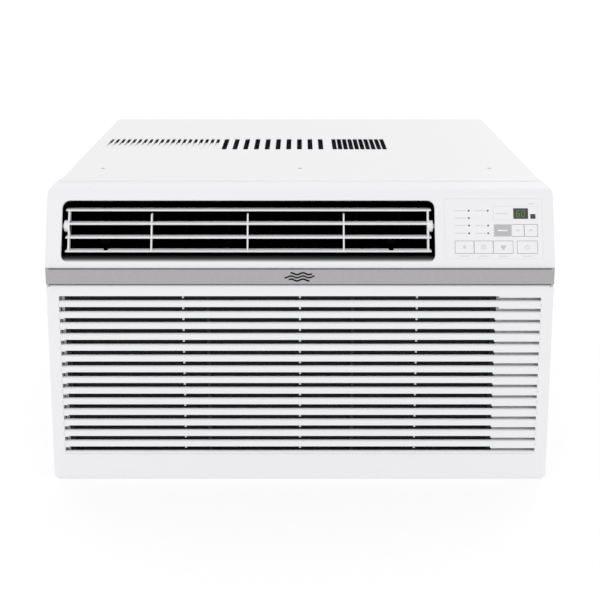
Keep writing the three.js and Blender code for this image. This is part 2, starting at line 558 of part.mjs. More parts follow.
// ---------------------------------------------------------------- indoor side
function makeCoil(name, { left, right, front, back, low, high, rows }) {
  const fins = box([left, front + 1, low + 1], [right, back - 1, high - 1]);
  const endPlates = [left, right].map((x) => box([x - 1, front, low], [x + 1, back, high]));
  const middle = (front + back) / 2;
  const step = (high - low) / rows;
  const bends = Array.from({ length: rows }, (_, i) =>
    rod("x", middle, low + (i + 0.5) * step, 4.6, left - 7, right + 7, 6),
  );
  place(name, "aluminium", join(fins, endPlates, bends));
}

function spiral(centre, from, to, startRadius, endRadius, steps) {
  return Array.from({ length: steps + 1 }, (_, i) => {
    const share = i / steps;
    const turn = from + (to - from) * share;
    const radius = startRadius + (endRadius - startRadius) * share;
    return [centre[0] + radius * Math.cos(turn), centre[1] + radius * Math.sin(turn)];
  });
}

function makeBlower() {
  const [front, back, wall] = [-158, -46, 2.5];
  const outline = (inset) => [
    [OUTLET.left - 3 + inset, OUTLET.ceiling + 3 - inset],
    [OUTLET.left - 3 + inset, OUTLET.floor - 2 + inset / 2],
    ...spiral([SHAFT.x, SHAFT.z], Math.PI, 2 * Math.PI, 110 - inset, 146 - inset, 14),
    [OUTLET.right + 3 - inset, OUTLET.floor - 2 + inset / 2],
    [OUTLET.right + 3 - inset, OUTLET.ceiling + 3 - inset],
  ];
  const housing = cut(
    prism("y", outline(0), front, back),
    prism("y", outline(wall), front + wall, back - wall),
    rod("y", SHAFT.x, SHAFT.z, 84, front - 1, front + wall + 1, 28),
    rod("y", SHAFT.x, SHAFT.z, 12, back - wall - 1, back + 1, 12),
    box([OUTLET.left, front - 1, OUTLET.floor + 1], [OUTLET.right, front + wall + 1, OUTLET.ceiling - 1]),
  );
  place("blower_housing", "greyPlastic", housing);

  const wheel = { front: -140, back: -58, outer: 98, inner: 84, blades: 20 };
  const hubBore = SHAFT.radius + GAP;
  const backPlate = turned(
    "y",
    [[hubBore, wheel.back - 16], [14, wheel.back - 16], [14, wheel.back - 3], [wheel.outer, wheel.back - 3], [wheel.outer, wheel.back], [hubBore, wheel.back], [hubBore, wheel.back - 16]],
    24,
    [SHAFT.x, SHAFT.z],
  );
  const frontRing = turned(
    "y",
    [[wheel.inner, wheel.front], [wheel.outer, wheel.front], [wheel.outer, wheel.front + 4], [wheel.inner, wheel.front + 4], [wheel.inner, wheel.front]],
    24,
    [SHAFT.x, SHAFT.z],
  );
  const blades = Array.from({ length: wheel.blades }, (_, i) => {
    const blade = new THREE.BoxGeometry(wheel.outer - wheel.inner - 2.5, wheel.back - wheel.front - 4, 1.4);
    blade.rotateY(0.5);
    blade.translate((wheel.outer + wheel.inner) / 2 - 0.6, (wheel.back + wheel.front) / 2, 0);
    blade.rotateY((2 * Math.PI * i) / wheel.blades);
    blade.translate(SHAFT.x, 0, SHAFT.z);
    return solidOf(blade);
  });
  place("blower_wheel", "greyPlastic", join(backPlate, frontRing, blades));
}

function makeBulkhead() {
  const sheet = box([-289, -45, 2], [289, -43.4, 354]);
  const shaftHole = rod("y", SHAFT.x, SHAFT.z, 14, -50, -40, 12);
  const pipeHole = box([236, -50, 276], [274, -40, 322]);
  place("bulkhead", "galvanised", cut(sheet, shaftHole, pipeHole));
}

function makeControlBox() {
  const [x0, x1, front, back, low, high, wall] = [176, 286, -206, -140, 262, 345, 2];
  const shell = cut(box([x0, front, low], [x1, back, high]), box([x0 + wall, front - 1, low + wall], [x1 - wall, back - wall, high - wall]));
  place("control_box", "blackPlastic", shell);
  place("main_board", "circuitBoard", box([x0 + 6, -186, low + 6], [x1 - 6, -184.4, high - 6]));
  place("run_capacitor", "aluminium", turned("z", [[0, 270], [15, 270], [15, 338], [0, 338]], 16, [265, -163]));
}

function makeRoomSensor() {
  place("room_sensor", "greyPlastic", rod("x", -211.5, 124, 3.2, 180, 212, 8));
}

// ---------------------------------------------------------------- outdoor side
function makeFanMotor() {
  const bore = SHAFT.radius + 1;
  const profile = [[bore, 20], [30, 20], [30, 27], [60, 34], [60, 106], [30, 113], [30, 120], [bore, 120], [bore, 20]];
  place("fan_motor", "blackSteel", turned("y", profile, 24, [SHAFT.x, SHAFT.z]));
  const clamp = cut(
    join(
      rod("y", SHAFT.x, SHAFT.z, 66, 55, 85, 24),
      box([SHAFT.x - 70, 69, 2], [SHAFT.x + 70, 72, SHAFT.z - 20]),
      box([SHAFT.x - 70, 55, 2], [SHAFT.x + 70, 85, 5]),
    ),
    rod("y", SHAFT.x, SHAFT.z, 60.6, 50, 90, 24),
  );
  place("motor_bracket", "galvanised", clamp);
  place("fan_shaft", "steel", rod("y", SHAFT.x, SHAFT.z, SHAFT.radius, -80, 206, 12));
}

function makeCondenserFan() {
  const fan = { front: 174, back: 206, hub: 34, tip: 146, blades: 5 };
  const bore = SHAFT.radius + GAP;
  const middle = (fan.front + fan.back) / 2;
  const hub = turned(
    "y",
    [[bore, fan.front], [fan.hub, fan.front], [fan.hub, fan.back], [bore, fan.back], [bore, fan.front]],
    20,
    [SHAFT.x, SHAFT.z],
  );
  const slinger = turned(
    "y",
    [[fan.tip - 2, middle - 7], [fan.tip + 3, middle - 7], [fan.tip + 3, middle + 7], [fan.tip - 2, middle + 7], [fan.tip - 2, middle - 7]],
    24,
    [SHAFT.x, SHAFT.z],
  );
  const blades = Array.from({ length: fan.blades }, (_, i) => {
    const length = fan.tip - fan.hub + 4;
    const blade = new THREE.BoxGeometry(length, 2.2, 60, 1, 1, 1);
    const place3 = blade.attributes.position;
    for (let k = 0; k < place3.count; k++) {
      if (place3.getX(k) < 0) place3.setZ(k, place3.getZ(k) * 0.55);
    }
    blade.rotateX(0.42);
    blade.translate(fan.hub - 3 + length / 2, middle, 0);
    blade.rotateY((2 * Math.PI * i) / fan.blades);
    blade.translate(SHAFT.x, 0, SHAFT.z);
    return solidOf(blade);
  });
  place("condenser_fan", "blackPlastic", join(hub, slinger, blades));
}

function makeFanShroud() {
  const pipeNotches = [[268, 302, 328], [276, 48, 72]].map(([x, low, high]) => box([x, 215, low], [290, 225, high]));
  const plate = cut(box([-289, 218, 8], [289, 220, 353]), rod("y", SHAFT.x, SHAFT.z, 154, 215, 225, 28), pipeNotches);
  const collar = turned(
    "y",
    [[154, 176], [156.5, 176], [156.5, 219], [154, 219], [154, 176]],
    28,
    [SHAFT.x, SHAFT.z],
  );
  place("fan_shroud", "greyPlastic", join(plate, collar));
}

function makeCompressor() {
  const { x, y, radius, low, high } = COMPRESSOR;
  const body = turned(
    "z",
    [[0, low + 3], [52, low + 3], [radius, low + 12], [radius, high - 32], [50, high - 14], [18, high - 1], [0, high]],
    24,
    [x, y],
  );
  const feet = [90, 210, 330].map((degrees) => {
    const turn = (degrees * Math.PI) / 180;
    return { x: x + 74 * Math.cos(turn), y: y + 74 * Math.sin(turn) };
  });
  const plate = prism(
    "z",
    feet.flatMap((foot, i) => {
      const turn = ((90 + 120 * i) * Math.PI) / 180;
      return [-1, 1].map((side) => [
        foot.x + 12 * Math.cos(turn) - side * 13 * Math.sin(turn),
        foot.y + 12 * Math.sin(turn) + side * 13 * Math.cos(turn),
      ]);
    }),
    low - 3,
    low + 3.5,
  );
  const stub = rod("z", x, y, 5, high - 4, high + 8, 8);
  place("compressor", "blackSteel", join(body, plate, stub));
  feet.forEach((foot, i) => {
    const grommet = rod("z", 0, 0, 9, 1.9, low - 3.3, 12);
    place(`compressor_grommet_${i + 1}`, "rubber", grommet, root, [foot.x, foot.y, 0]);
  });
  place("terminal_cover", "greyPlastic", box([x + radius + 1, y - 16, 150], [x + radius + 15, y + 16, 192]));
  place(
    "accumulator",
    "blackSteel",
    turned("z", [[0, 60], [7, 60], [21, 74], [21, 192], [7, 205], [0, 205]], 16, [138, 122]),
  );
}

// Copper runs, each a fixed tube between the two pieces named by it.
function makePipes() {
  const suction = [
    [138, 122, 206], [138, 122, 250], [150, 90, 284], [200, 20, 298], [250, -20, 300], [255, -60, 300],
    [255, -100, 270], [255, -125, 248], [256, -155, 244], [252, -180, 244], [243, -186, 244], [234.5, -186, 243.8],
  ];
  place("suction_pipe", "copper", pipe(suction, 6, 24));
  const discharge = [
    [200, 60, 252], [200, 62, 275], [205, 80, 300], [225, 120, 315], [260, 170, 318], [276, 205, 316],
    [281, 228, 314], [283, 246, 310], [280, 256, 305], [270.5, 258, 303.1],
  ];
  place("discharge_pipe", "copper", pipe(discharge, 4, 20));
  const capillary = [
    [270.5, 258, 45.9], [281, 250, 50], [283, 220, 60], [278, 190, 64], [270, 120, 64], [276, 60, 90], [278, 0, 200],
    [266, -20, 286], [262, -70, 288], [270, -90, 200], [262, -120, 80], [252, -170, 30], [234.5, -186, 17.2],
  ];
  place("capillary_tube", "copper", pipe(capillary, 1.6, 26));
}

makeFrontFrame();
makeFilterHolder();
makeTrimBand();
makeControls();
makeAirDuct();
makeLouvreGrid();
makeVanes();
makeIntakeGrille();
makeFilter();
makeCase();
makeBasePan();
makeCaseScrews();
makeCoil("evaporator_coil", { left: -272, right: 226, front: -204, back: -168, low: 3, high: 258, rows: 9 });
makeBlower();
makeBulkhead();
makeControlBox();
makeRoomSensor();
makeFanMotor();
makeCondenserFan();
makeFanShroud();
makeCoil("condenser_coil", { left: -270, right: 262, front: 240, back: 276, low: 3, high: 346, rows: 12 });
makeCompressor();
makePipes();

export default root;
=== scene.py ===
"""A window air conditioner: moulded front, steel case, refrigeration set and controls, finished for looks.

Metres. +X is to the right of someone facing the front, +Y points outdoors, +Z is up.
"""
import json
import math

import bmesh
import bpy
from mathutils import Matrix, Vector


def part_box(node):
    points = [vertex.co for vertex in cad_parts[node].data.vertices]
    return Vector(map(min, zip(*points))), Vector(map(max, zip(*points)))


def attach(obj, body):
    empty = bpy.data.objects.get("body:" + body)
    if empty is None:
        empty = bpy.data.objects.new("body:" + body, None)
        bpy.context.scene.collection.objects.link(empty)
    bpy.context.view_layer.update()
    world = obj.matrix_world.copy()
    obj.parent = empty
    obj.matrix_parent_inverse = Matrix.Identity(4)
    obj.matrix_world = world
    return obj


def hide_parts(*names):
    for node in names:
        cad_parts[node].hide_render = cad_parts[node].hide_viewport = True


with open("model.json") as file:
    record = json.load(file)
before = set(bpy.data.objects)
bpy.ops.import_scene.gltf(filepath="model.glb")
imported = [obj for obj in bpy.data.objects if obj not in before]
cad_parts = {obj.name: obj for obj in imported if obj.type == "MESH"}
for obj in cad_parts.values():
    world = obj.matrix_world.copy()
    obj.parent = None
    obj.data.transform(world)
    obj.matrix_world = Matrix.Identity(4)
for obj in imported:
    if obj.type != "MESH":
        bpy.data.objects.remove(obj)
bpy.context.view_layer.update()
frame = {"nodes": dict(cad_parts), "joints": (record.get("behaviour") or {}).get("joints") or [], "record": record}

MM = 0.001
RECORD = frame["record"]
BODY_OF = {node: body for body, nodes in RECORD["behaviour"]["bodies"].items() for node in nodes}
SLOT_OF = {entry["node"]: entry["material_slot"] for entry in RECORD["subparts"]}


def joint_place(name):
    """Where a joint's axis passes, in metres."""
    return Vector(next(joint for joint in frame["joints"] if joint["name"] == name)["pos_m"])


# Sizes shared by several pieces: HINGE, LIP_ and HOOK_X in millimetres, the rest in metres.
HINGE = joint_place("grille_hinge") / MM
BAND_LOW, BAND_HIGH = (corner.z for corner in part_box("trim_band"))
PANEL_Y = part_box("intake_grille")[0].y
FOOT = Vector((0, PANEL_Y, BAND_HIGH + 0.4 * MM))
CREASE = Vector((0, -246 * MM, 355 * MM))
SLOPE = CREASE - FOOT
ON_SLOPE = Matrix.Translation(FOOT) @ Matrix.Rotation(math.atan2(SLOPE.z, SLOPE.y), 4, "X")
LIP_LOW, LIP_ROLL = 6.8, 9.5
HOOK_X = 293.5


# ---------------------------------------------------------------- finishes
def finish(
    name, colour, roughness, metallic=0.0, grain=900.0, relief=0.02, mottle=0.0, coat=0.0, shine=0.5,
):
    """A surface with a fine grain in relief and, where mottle is set, a slight unevenness of colour."""
    material = bpy.data.materials.new(name)
    material.use_nodes = True
    nodes, links = material.node_tree.nodes, material.node_tree.links
    surface = nodes["Principled BSDF"]
    surface.inputs["Metallic"].default_value = metallic
    surface.inputs["Roughness"].default_value = roughness
    surface.inputs["Coat Weight"].default_value = coat
    surface.inputs["Specular IOR Level"].default_value = shine
    place = nodes.new("ShaderNodeTexCoord")
    noise = nodes.new("ShaderNodeTexNoise")
    noise.inputs["Scale"].default_value = grain
    noise.inputs["Detail"].default_value = 3
    links.new(place.outputs["Object"], noise.inputs["Vector"])
    bump = nodes.new("ShaderNodeBump")
    bump.inputs["Strength"].default_value = relief
    bump.inputs["Distance"].default_value = 0.0005
    links.new(noise.outputs["Fac"], bump.inputs["Height"])
    links.new(bump.outputs["Normal"], surface.inputs["Normal"])
    if mottle:
        cloud = nodes.new("ShaderNodeTexNoise")
        cloud.inputs["Scale"].default_value = grain / 12
        links.new(place.outputs["Object"], cloud.inputs["Vector"])
        ramp = nodes.new("ShaderNodeValToRGB")
        ramp.color_ramp.elements[0].position = 0.35
        ramp.color_ramp.elements[1].position = 0.65
        ramp.color_ramp.elements[0].color = (*[c * (1 - mottle) for c in colour], 1)
        ramp.color_ramp.elements[1].color = (*[min(1, c * (1 + mottle)) for c in colour], 1)
        links.new(cloud.outputs["Fac"], ramp.inputs["Fac"])
        links.new(ramp.outputs["Color"], surface.inputs["Base Color"])
    else:
        surface.inputs["Base Color"].default_value = (*colour, 1)
    return material


def net_finish(name, thread, gap, pitch):
    """A woven net: light threads over darker holes, pitch apart."""
    material = finish(name, gap, 0.9)
    nodes, links = material.node_tree.nodes, material.node_tree.links
    surface = nodes["Principled BSDF"]
    half_thread = pitch * 0.14
    split = nodes.new("ShaderNodeSeparateXYZ")
    links.new(nodes["Texture Coordinate"].outputs["Object"], split.inputs["Vector"])
    threads = []
    for axis in ("X", "Z"):
        wave = nodes.new("ShaderNodeMath")
        wave.operation = "PINGPONG"
        wave.inputs[1].default_value = pitch / 2
        links.new(split.outputs[axis], wave.inputs[0])
        near = nodes.new("ShaderNodeMath")
        near.operation = "LESS_THAN"
        near.inputs[1].default_value = half_thread
        links.new(wave.outputs[0], near.inputs[0])
        threads.append(near)
    either = nodes.new("ShaderNodeMath")
    either.operation = "MAXIMUM"
    links.new(threads[0].outputs[0], either.inputs[0])
    links.new(threads[1].outputs[0], either.inputs[1])
    mix = nodes.new("ShaderNodeMix")
    mix.data_type = "RGBA"
    mix.inputs["A"].default_value = (*gap, 1)
    mix.inputs["B"].default_value = (*thread, 1)
    links.new(either.outputs[0], mix.inputs["Factor"])
    links.new(mix.outputs["Result"], surface.inputs["Base Color"])
    return material


def glowing(name, colour, strength):
    """A surface that gives off a little light in its own colour."""
    material = finish(name, colour, 0.4)
    surface = material.node_tree.nodes["Principled BSDF"]
    surface.inputs["Emission Color"].default_value = (*colour, 1)
    surface.inputs["Emission Strength"].default_value = strength
    return material


def fading(name, light, dark, low, high):
    """Light at height low, dark at height high, in the object's own frame."""
    material = finish(name, light, 0.5, shine=0.2)
    nodes, links = material.node_tree.nodes, material.node_tree.links
    split = nodes.new("ShaderNodeSeparateXYZ")
    links.new(nodes["Texture Coordinate"].outputs["Object"], split.inputs["Vector"])
    span = nodes.new("ShaderNodeMapRange")
    span.inputs["From Min"].default_value = low
    span.inputs["From Max"].default_value = high
    links.new(split.outputs["Z"], span.inputs["Value"])
    ramp = nodes.new("ShaderNodeValToRGB")
    ramp.color_ramp.elements[0].color = (*light, 1)
    ramp.color_ramp.elements[1].color = (*dark, 1)
    for place, share in ((0.22, 0.55), (0.5, 0.13), (0.75, 0.025)):
        step = ramp.color_ramp.elements.new(place)
        step.color = (*[d + (c - d) * share for c, d in zip(light, dark)], 1)
    links.new(span.outputs["Result"], ramp.inputs["Fac"])
    links.new(ramp.outputs["Color"], material.node_tree.nodes["Principled BSDF"].inputs["Base Color"])
    return material


FINISHES = {
    "white_plastic": finish("satin_white_moulding", (0.83, 0.83, 0.845), 0.38, grain=1400, relief=0.03),
    "white_steel": finish("white_powder_coat", (0.83, 0.83, 0.84), 0.45, grain=900, relief=0.08),
    "silver_trim": finish(
        "silver_paint", (0.40, 0.39, 0.40), 0.38, 0.35, grain=2500, relief=0.03, mottle=0.02,
    ),
    "black_plastic": finish(
        "black_moulding", (0.0015, 0.0015, 0.0017), 0.85, grain=900, relief=0.05, shine=0.08,
    ),
    "smoked_window": finish("smoked_window", (0.022, 0.032, 0.014), 0.12, grain=50, relief=0.0, coat=0.5),
    "grey_plastic": finish("grey_moulding", (0.30, 0.31, 0.33), 0.5, grain=900, relief=0.04),
    "filter_net": net_finish("filter_net", (0.020, 0.021, 0.023), (0.004, 0.004, 0.004), 1.6 * MM),
    "galvanised_steel": finish(
        "zinc_coated_steel", (0.55, 0.57, 0.59), 0.38, 0.9, grain=260, relief=0.05, mottle=0.12,
    ),
    "fin_aluminium": finish(
        "fin_aluminium", (0.62, 0.64, 0.66), 0.38, 0.9, grain=700, relief=0.04, mottle=0.05,
    ),
    "copper_tube": finish(
        "drawn_copper", (0.62, 0.27, 0.13), 0.3, 1.0, grain=400, relief=0.03, mottle=0.15,
    ),
    "black_steel": finish("black_enamel", (0.012, 0.012, 0.014), 0.3, 0.0, grain=500, relief=0.06, coat=0.4),
    "rubber": finish("black_rubber", (0.015, 0.015, 0.015), 0.85, grain=1200, relief=0.1),
    "circuit_board": finish(
        "green_solder_resist", (0.02, 0.13, 0.05), 0.4, grain=600, relief=0.05, mottle=0.2,
    ),
    "bright_steel": finish("bright_zinc", (0.62, 0.62, 0.62), 0.28, 1.0, grain=900, relief=0.03),
}
PRINT_GREY = finish("grey_print", (0.52, 0.52, 0.54), 0.5)
PALE_PRINT = finish("pale_grey_print", (0.66, 0.66, 0.68), 0.5)
PATCH_GREY = finish("grey_patch", (0.47, 0.47, 0.48), 0.45)
# Painted shadow: near-black strips on the band's face stand in for the shade in the gaps along its top and bottom
# edges.
BAND_GAP_SHADOW = finish("painted_gap_shadow", (0.05, 0.047, 0.05), 0.5)
# Black moulding for the duct, blower and vanes, made darker and less shiny than the real plastic: partly their own
# black, partly painted shade for the deep shade inside the outlet.
DUCT_BLACK_AND_SHADE = finish("black_duct_and_painted_shade", (0.0012, 0.0012, 0.0012), 0.95, shine=0.04)
MARK_GREY = finish("dark_grey_mark", (0.10, 0.095, 0.10), 0.4)
EYE_GREY = finish("dark_grey_lens", (0.045, 0.045, 0.045), 0.35)
LAMP_TINT = finish("smoked_lamp", (0.16, 0.16, 0.13), 0.3)
DIGIT_GREEN = glowing("lit_green_digit", (0.09, 0.17, 0.05), 0.25)
LIP_FACE = ON_SLOPE @ Vector((0, LIP_LOW * MM, 0))
LIP_INSIDE = ON_SLOPE @ Vector((0, (LIP_LOW + LIP_ROLL) * MM, -LIP_ROLL * MM))
LIP_SHADE = fading("shaded_lip", (0.83, 0.83, 0.845), (0.001, 0.001, 0.001), LIP_FACE.z, LIP_INSIDE.z)
BOARD_PART = finish("component_grey", (0.04, 0.04, 0.045), 0.5)
FILTER_GREY = finish("dark_grey_moulding", (0.035, 0.036, 0.040), 0.6)


# ---------------------------------------------------------------- shapes
def runs_along(axis):
    """A test for edges that lie along an axis."""
    return lambda edge: abs((edge.verts[1].co - edge.verts[0].co).normalized()[axis]) > 0.99


def round_edges(bm, radius, chosen, segments=4):
    """Rounds the chosen edges, radius in metres."""
    bmesh.ops.bevel(
        bm, geom=[edge for edge in bm.edges if chosen(edge)], affect="EDGES", offset=radius, segments=segments,
        profile=0.5, material=-1, clamp_overlap=True,
    )
    return bm


def block(low, high, radius=0.0, axis=None, segments=4):
    """A box in metres, its four edges along an axis rounded where a radius is given."""
    low, high = Vector(low), Vector(high)
    bm = bmesh.new()
    bmesh.ops.create_cube(bm, size=1)
    bmesh.ops.scale(bm, vec=high - low, verts=bm.verts)
    bmesh.ops.translate(bm, vec=(low + high) / 2, verts=bm.verts)
    return round_edges(bm, radius, runs_along(axis), segments) if radius else bm


def mm_block(low, high, radius=0.0, axis=None, segments=4):
    """The same box in millimetres."""
    return block(Vector(low) * MM, Vector(high) * MM, radius * MM, axis, segments)


def prism(outline, from_x, to_x):
    """A straight prism along X from (y, z) points in millimetres."""
    bm = bmesh.new()
    face = bm.faces.new([bm.verts.new((from_x * MM, y * MM, z * MM)) for y, z in outline])
    grown = bmesh.ops.extrude_face_region(bm, geom=[face])
    verts = [item for item in grown["geom"] if isinstance(item, bmesh.types.BMVert)]
    bmesh.ops.translate(bm, vec=((to_x - from_x) * MM, 0, 0), verts=verts)
    bmesh.ops.recalc_face_normals(bm, faces=bm.faces)
    return bm


def rod(centre, axis, radius, length, segments=24):
    """A round bar in millimetres, centred, along one axis."""
    bm = bmesh.new()
    bmesh.ops.create_cone(
        bm, cap_ends=True, segments=segments, radius1=radius * MM, radius2=radius * MM, depth=length * MM,
    )
    along_x, along_y = Matrix.Rotation(math.pi / 2, 3, "Y"), Matrix.Rotation(math.pi / 2, 3, "X")
    bmesh.ops.rotate(bm, matrix=(along_x, along_y, Matrix.Identity(3))[axis], verts=bm.verts)
    bmesh.ops.translate(bm, vec=Vector(centre) * MM, verts=bm.verts)
    return bm


def gather(*shapes):
    """Several shapes as one, without joining their surfaces."""
    whole = bmesh.new()
    for shape in shapes:
        mesh = bpy.data.meshes.new("loose")
        shape.to_mesh(mesh)
        shape.free()
        whole.from_mesh(mesh)
        bpy.data.meshes.remove(mesh)
    return whole


def carve(shape, tool, how="DIFFERENCE"):
    """The shape with the tool cut away, or with how="UNION" or "INTERSECT"."""
    pair = []
    for bm in (shape, tool):
        mesh = bpy.data.meshes.new("blank")
        bm.to_mesh(mesh)
        bm.free()
        obj = bpy.data.objects.new("blank", mesh)
        bpy.context.collection.objects.link(obj)
        pair.append(obj)
    cut = pair[0].modifiers.new("cut", "BOOLEAN")
    cut.operation, cut.object, cut.solver = how, pair[1], "EXACT"
    result = pair[0].evaluated_get(bpy.context.evaluated_depsgraph_get()).to_mesh()
    bm = bmesh.new()
    bm.from_mesh(result)
    for obj in pair:
        mesh = obj.data
        bpy.data.objects.remove(obj)
        bpy.data.meshes.remove(mesh)
    bmesh.ops.remove_doubles(bm, verts=bm.verts, dist=1e-6)
    return bm


def make_piece(name, bm, slot, body, stands_for=(), edge=0.0, look=None, crease=35, segments=3):
    """Turns a shape into a finished object that rides on a body."""
    mesh = bpy.data.meshes.new(name)
    bm.to_mesh(mesh)
    bm.free()
    mesh.polygons.foreach_set("use_smooth", [True] * len(mesh.polygons))
    mesh.set_sharp_from_angle(angle=math.radians(crease))
    obj = bpy.data.objects.new(name, mesh)
    bpy.context.collection.objects.link(obj)
    mesh.materials.clear()
    mesh.materials.append(look or FINISHES[slot])
    if edge:
        bevel = obj.modifiers.new("soft_edges", "BEVEL")
        bevel.width, bevel.segments = edge * MM, segments
        bevel.limit_method, bevel.angle_limit = "ANGLE", math.radians(crease)
        bevel.harden_normals = True
    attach(obj, body)
    if stands_for:
        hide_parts(*stands_for)
    return obj


def node_piece(node, bm, **options):
    """A finished piece that takes the place of one node."""
    return make_piece(node + "_finished", bm, SLOT_OF[node], BODY_OF[node], (node,), **options)


def refined(node, edge=0.3, crease=35, look=None):
    """A node's own shape with clean faces, smooth rounds and softened edges."""
    bm = bmesh.new()
    bm.from_mesh(frame["nodes"][node].data)
    bmesh.ops.remove_doubles(bm, verts=bm.verts, dist=1e-6)
    if edge:
        bmesh.ops.dissolve_limit(bm, angle_limit=math.radians(0.5), verts=bm.verts, edges=bm.edges)
    return node_piece(node, bm, edge=edge, crease=crease, look=look)


def stroke(start, end, width, high=0.06, base=0.0):
    """A raised line between two points on the slope, in millimetres across and up the slope."""
    a, b = Vector((*start, 0)), Vector((*end, 0))
    run = b - a
    bm = bmesh.new()
    bmesh.ops.create_cube(bm, size=1)
    bmesh.ops.scale(bm, vec=((run.length + width * 0.5) * MM, width * MM, high * MM), verts=bm.verts)
    bmesh.ops.rotate(bm, matrix=Matrix.Rotation(math.atan2(run.y, run.x), 3, "Z"), verts=bm.verts)
    bmesh.ops.translate(bm, vec=((a + b) / 2 + Vector((0, 0, base + high / 2))) * MM, verts=bm.verts)
    return bm


def line(points, width, closed=False, **place):
    """Strokes from point to point."""
    ends = list(zip(points, points[1:] + points[:1])) if closed else list(zip(points, points[1:]))
    return [stroke(a, b, width, **place) for a, b in ends]


def ring(x, v, radius, width, start=0, end=360, steps=14, **place):
    """Strokes round a circle or an arc, its angles in degrees."""
    angles = [math.radians(start + (end - start) * i / steps) for i in range(steps + 1)]
    return line([(x + radius * math.cos(t), v + radius * math.sin(t)) for t in angles], width, **place)


def outline_box(x0, v0, x1, v1, width, **place):
    return line([(x0, v0), (x1, v0), (x1, v1), (x0, v1)], width, closed=True, **place)


def printed(name, shapes, body, look, slot="white_plastic"):
    """Marks laid on the slope, as one piece."""
    bm = gather(*shapes)
    bm.transform(ON_SLOPE)
    return make_piece(name, bm, slot, body, look=look)


# ---------------------------------------------------------------- moulded front
OUTLET = {"left": -281.7, "right": 159.5, "low": 9.8, "high": 80.7}
OVERLAY = {"left": 170.8, "right": 286.5, "low": 10.9, "high": 82.5}
WINDOW = {"left": 252.5, "right": 269.7, "low": 58.5, "high": 70.8}
RECEIVER = {"left": 272.6, "right": 278.4, "low": 58.6, "high": 63.9}
BOTTOM_ROW, TEMP_ROW = (17.3, 31.8), (37.5, 51.5)
KEYS = {
    "mode_button": (183.0, 204.7, BOTTOM_ROW),
    "timer_button": (205.5, 227.4, BOTTOM_ROW),
    "fan_speed_button": (228.2, 250.9, BOTTOM_ROW),
    "power_button": (256.2, 279.7, BOTTOM_ROW),
    "temp_down_button": (250.1, 264.3, TEMP_ROW),
    "temp_up_button": (265.1, 280.3, TEMP_ROW),
}
KEY_AREAS = [{"left": x0, "right": x1, "low": v0, "high": v1} for x0, x1, (v0, v1) in KEYS.values()]
MODE_ROWS, SPEED_ROWS = (68.1, 59.2, 50.3, 41.1), (68.1, 50.3, 41.1)
LAMPS = [(199.7, v) for v in MODE_ROWS] + [(222.2, v) for v in SPEED_ROWS]
RING_FRONT = -260.5
EAR_X, EAR_WIDE, EAR_ROD = 297.4, 3.4, 1.6


def slope_block(area, low, high, grow=0.0, radius=0.0):
    """A block standing on a rectangle of the slope, not yet turned onto it."""
    return mm_block(
        (area["left"] - grow, area["low"] - grow, low), (area["right"] + grow, area["high"] + grow, high),
        radius, 2,
    )


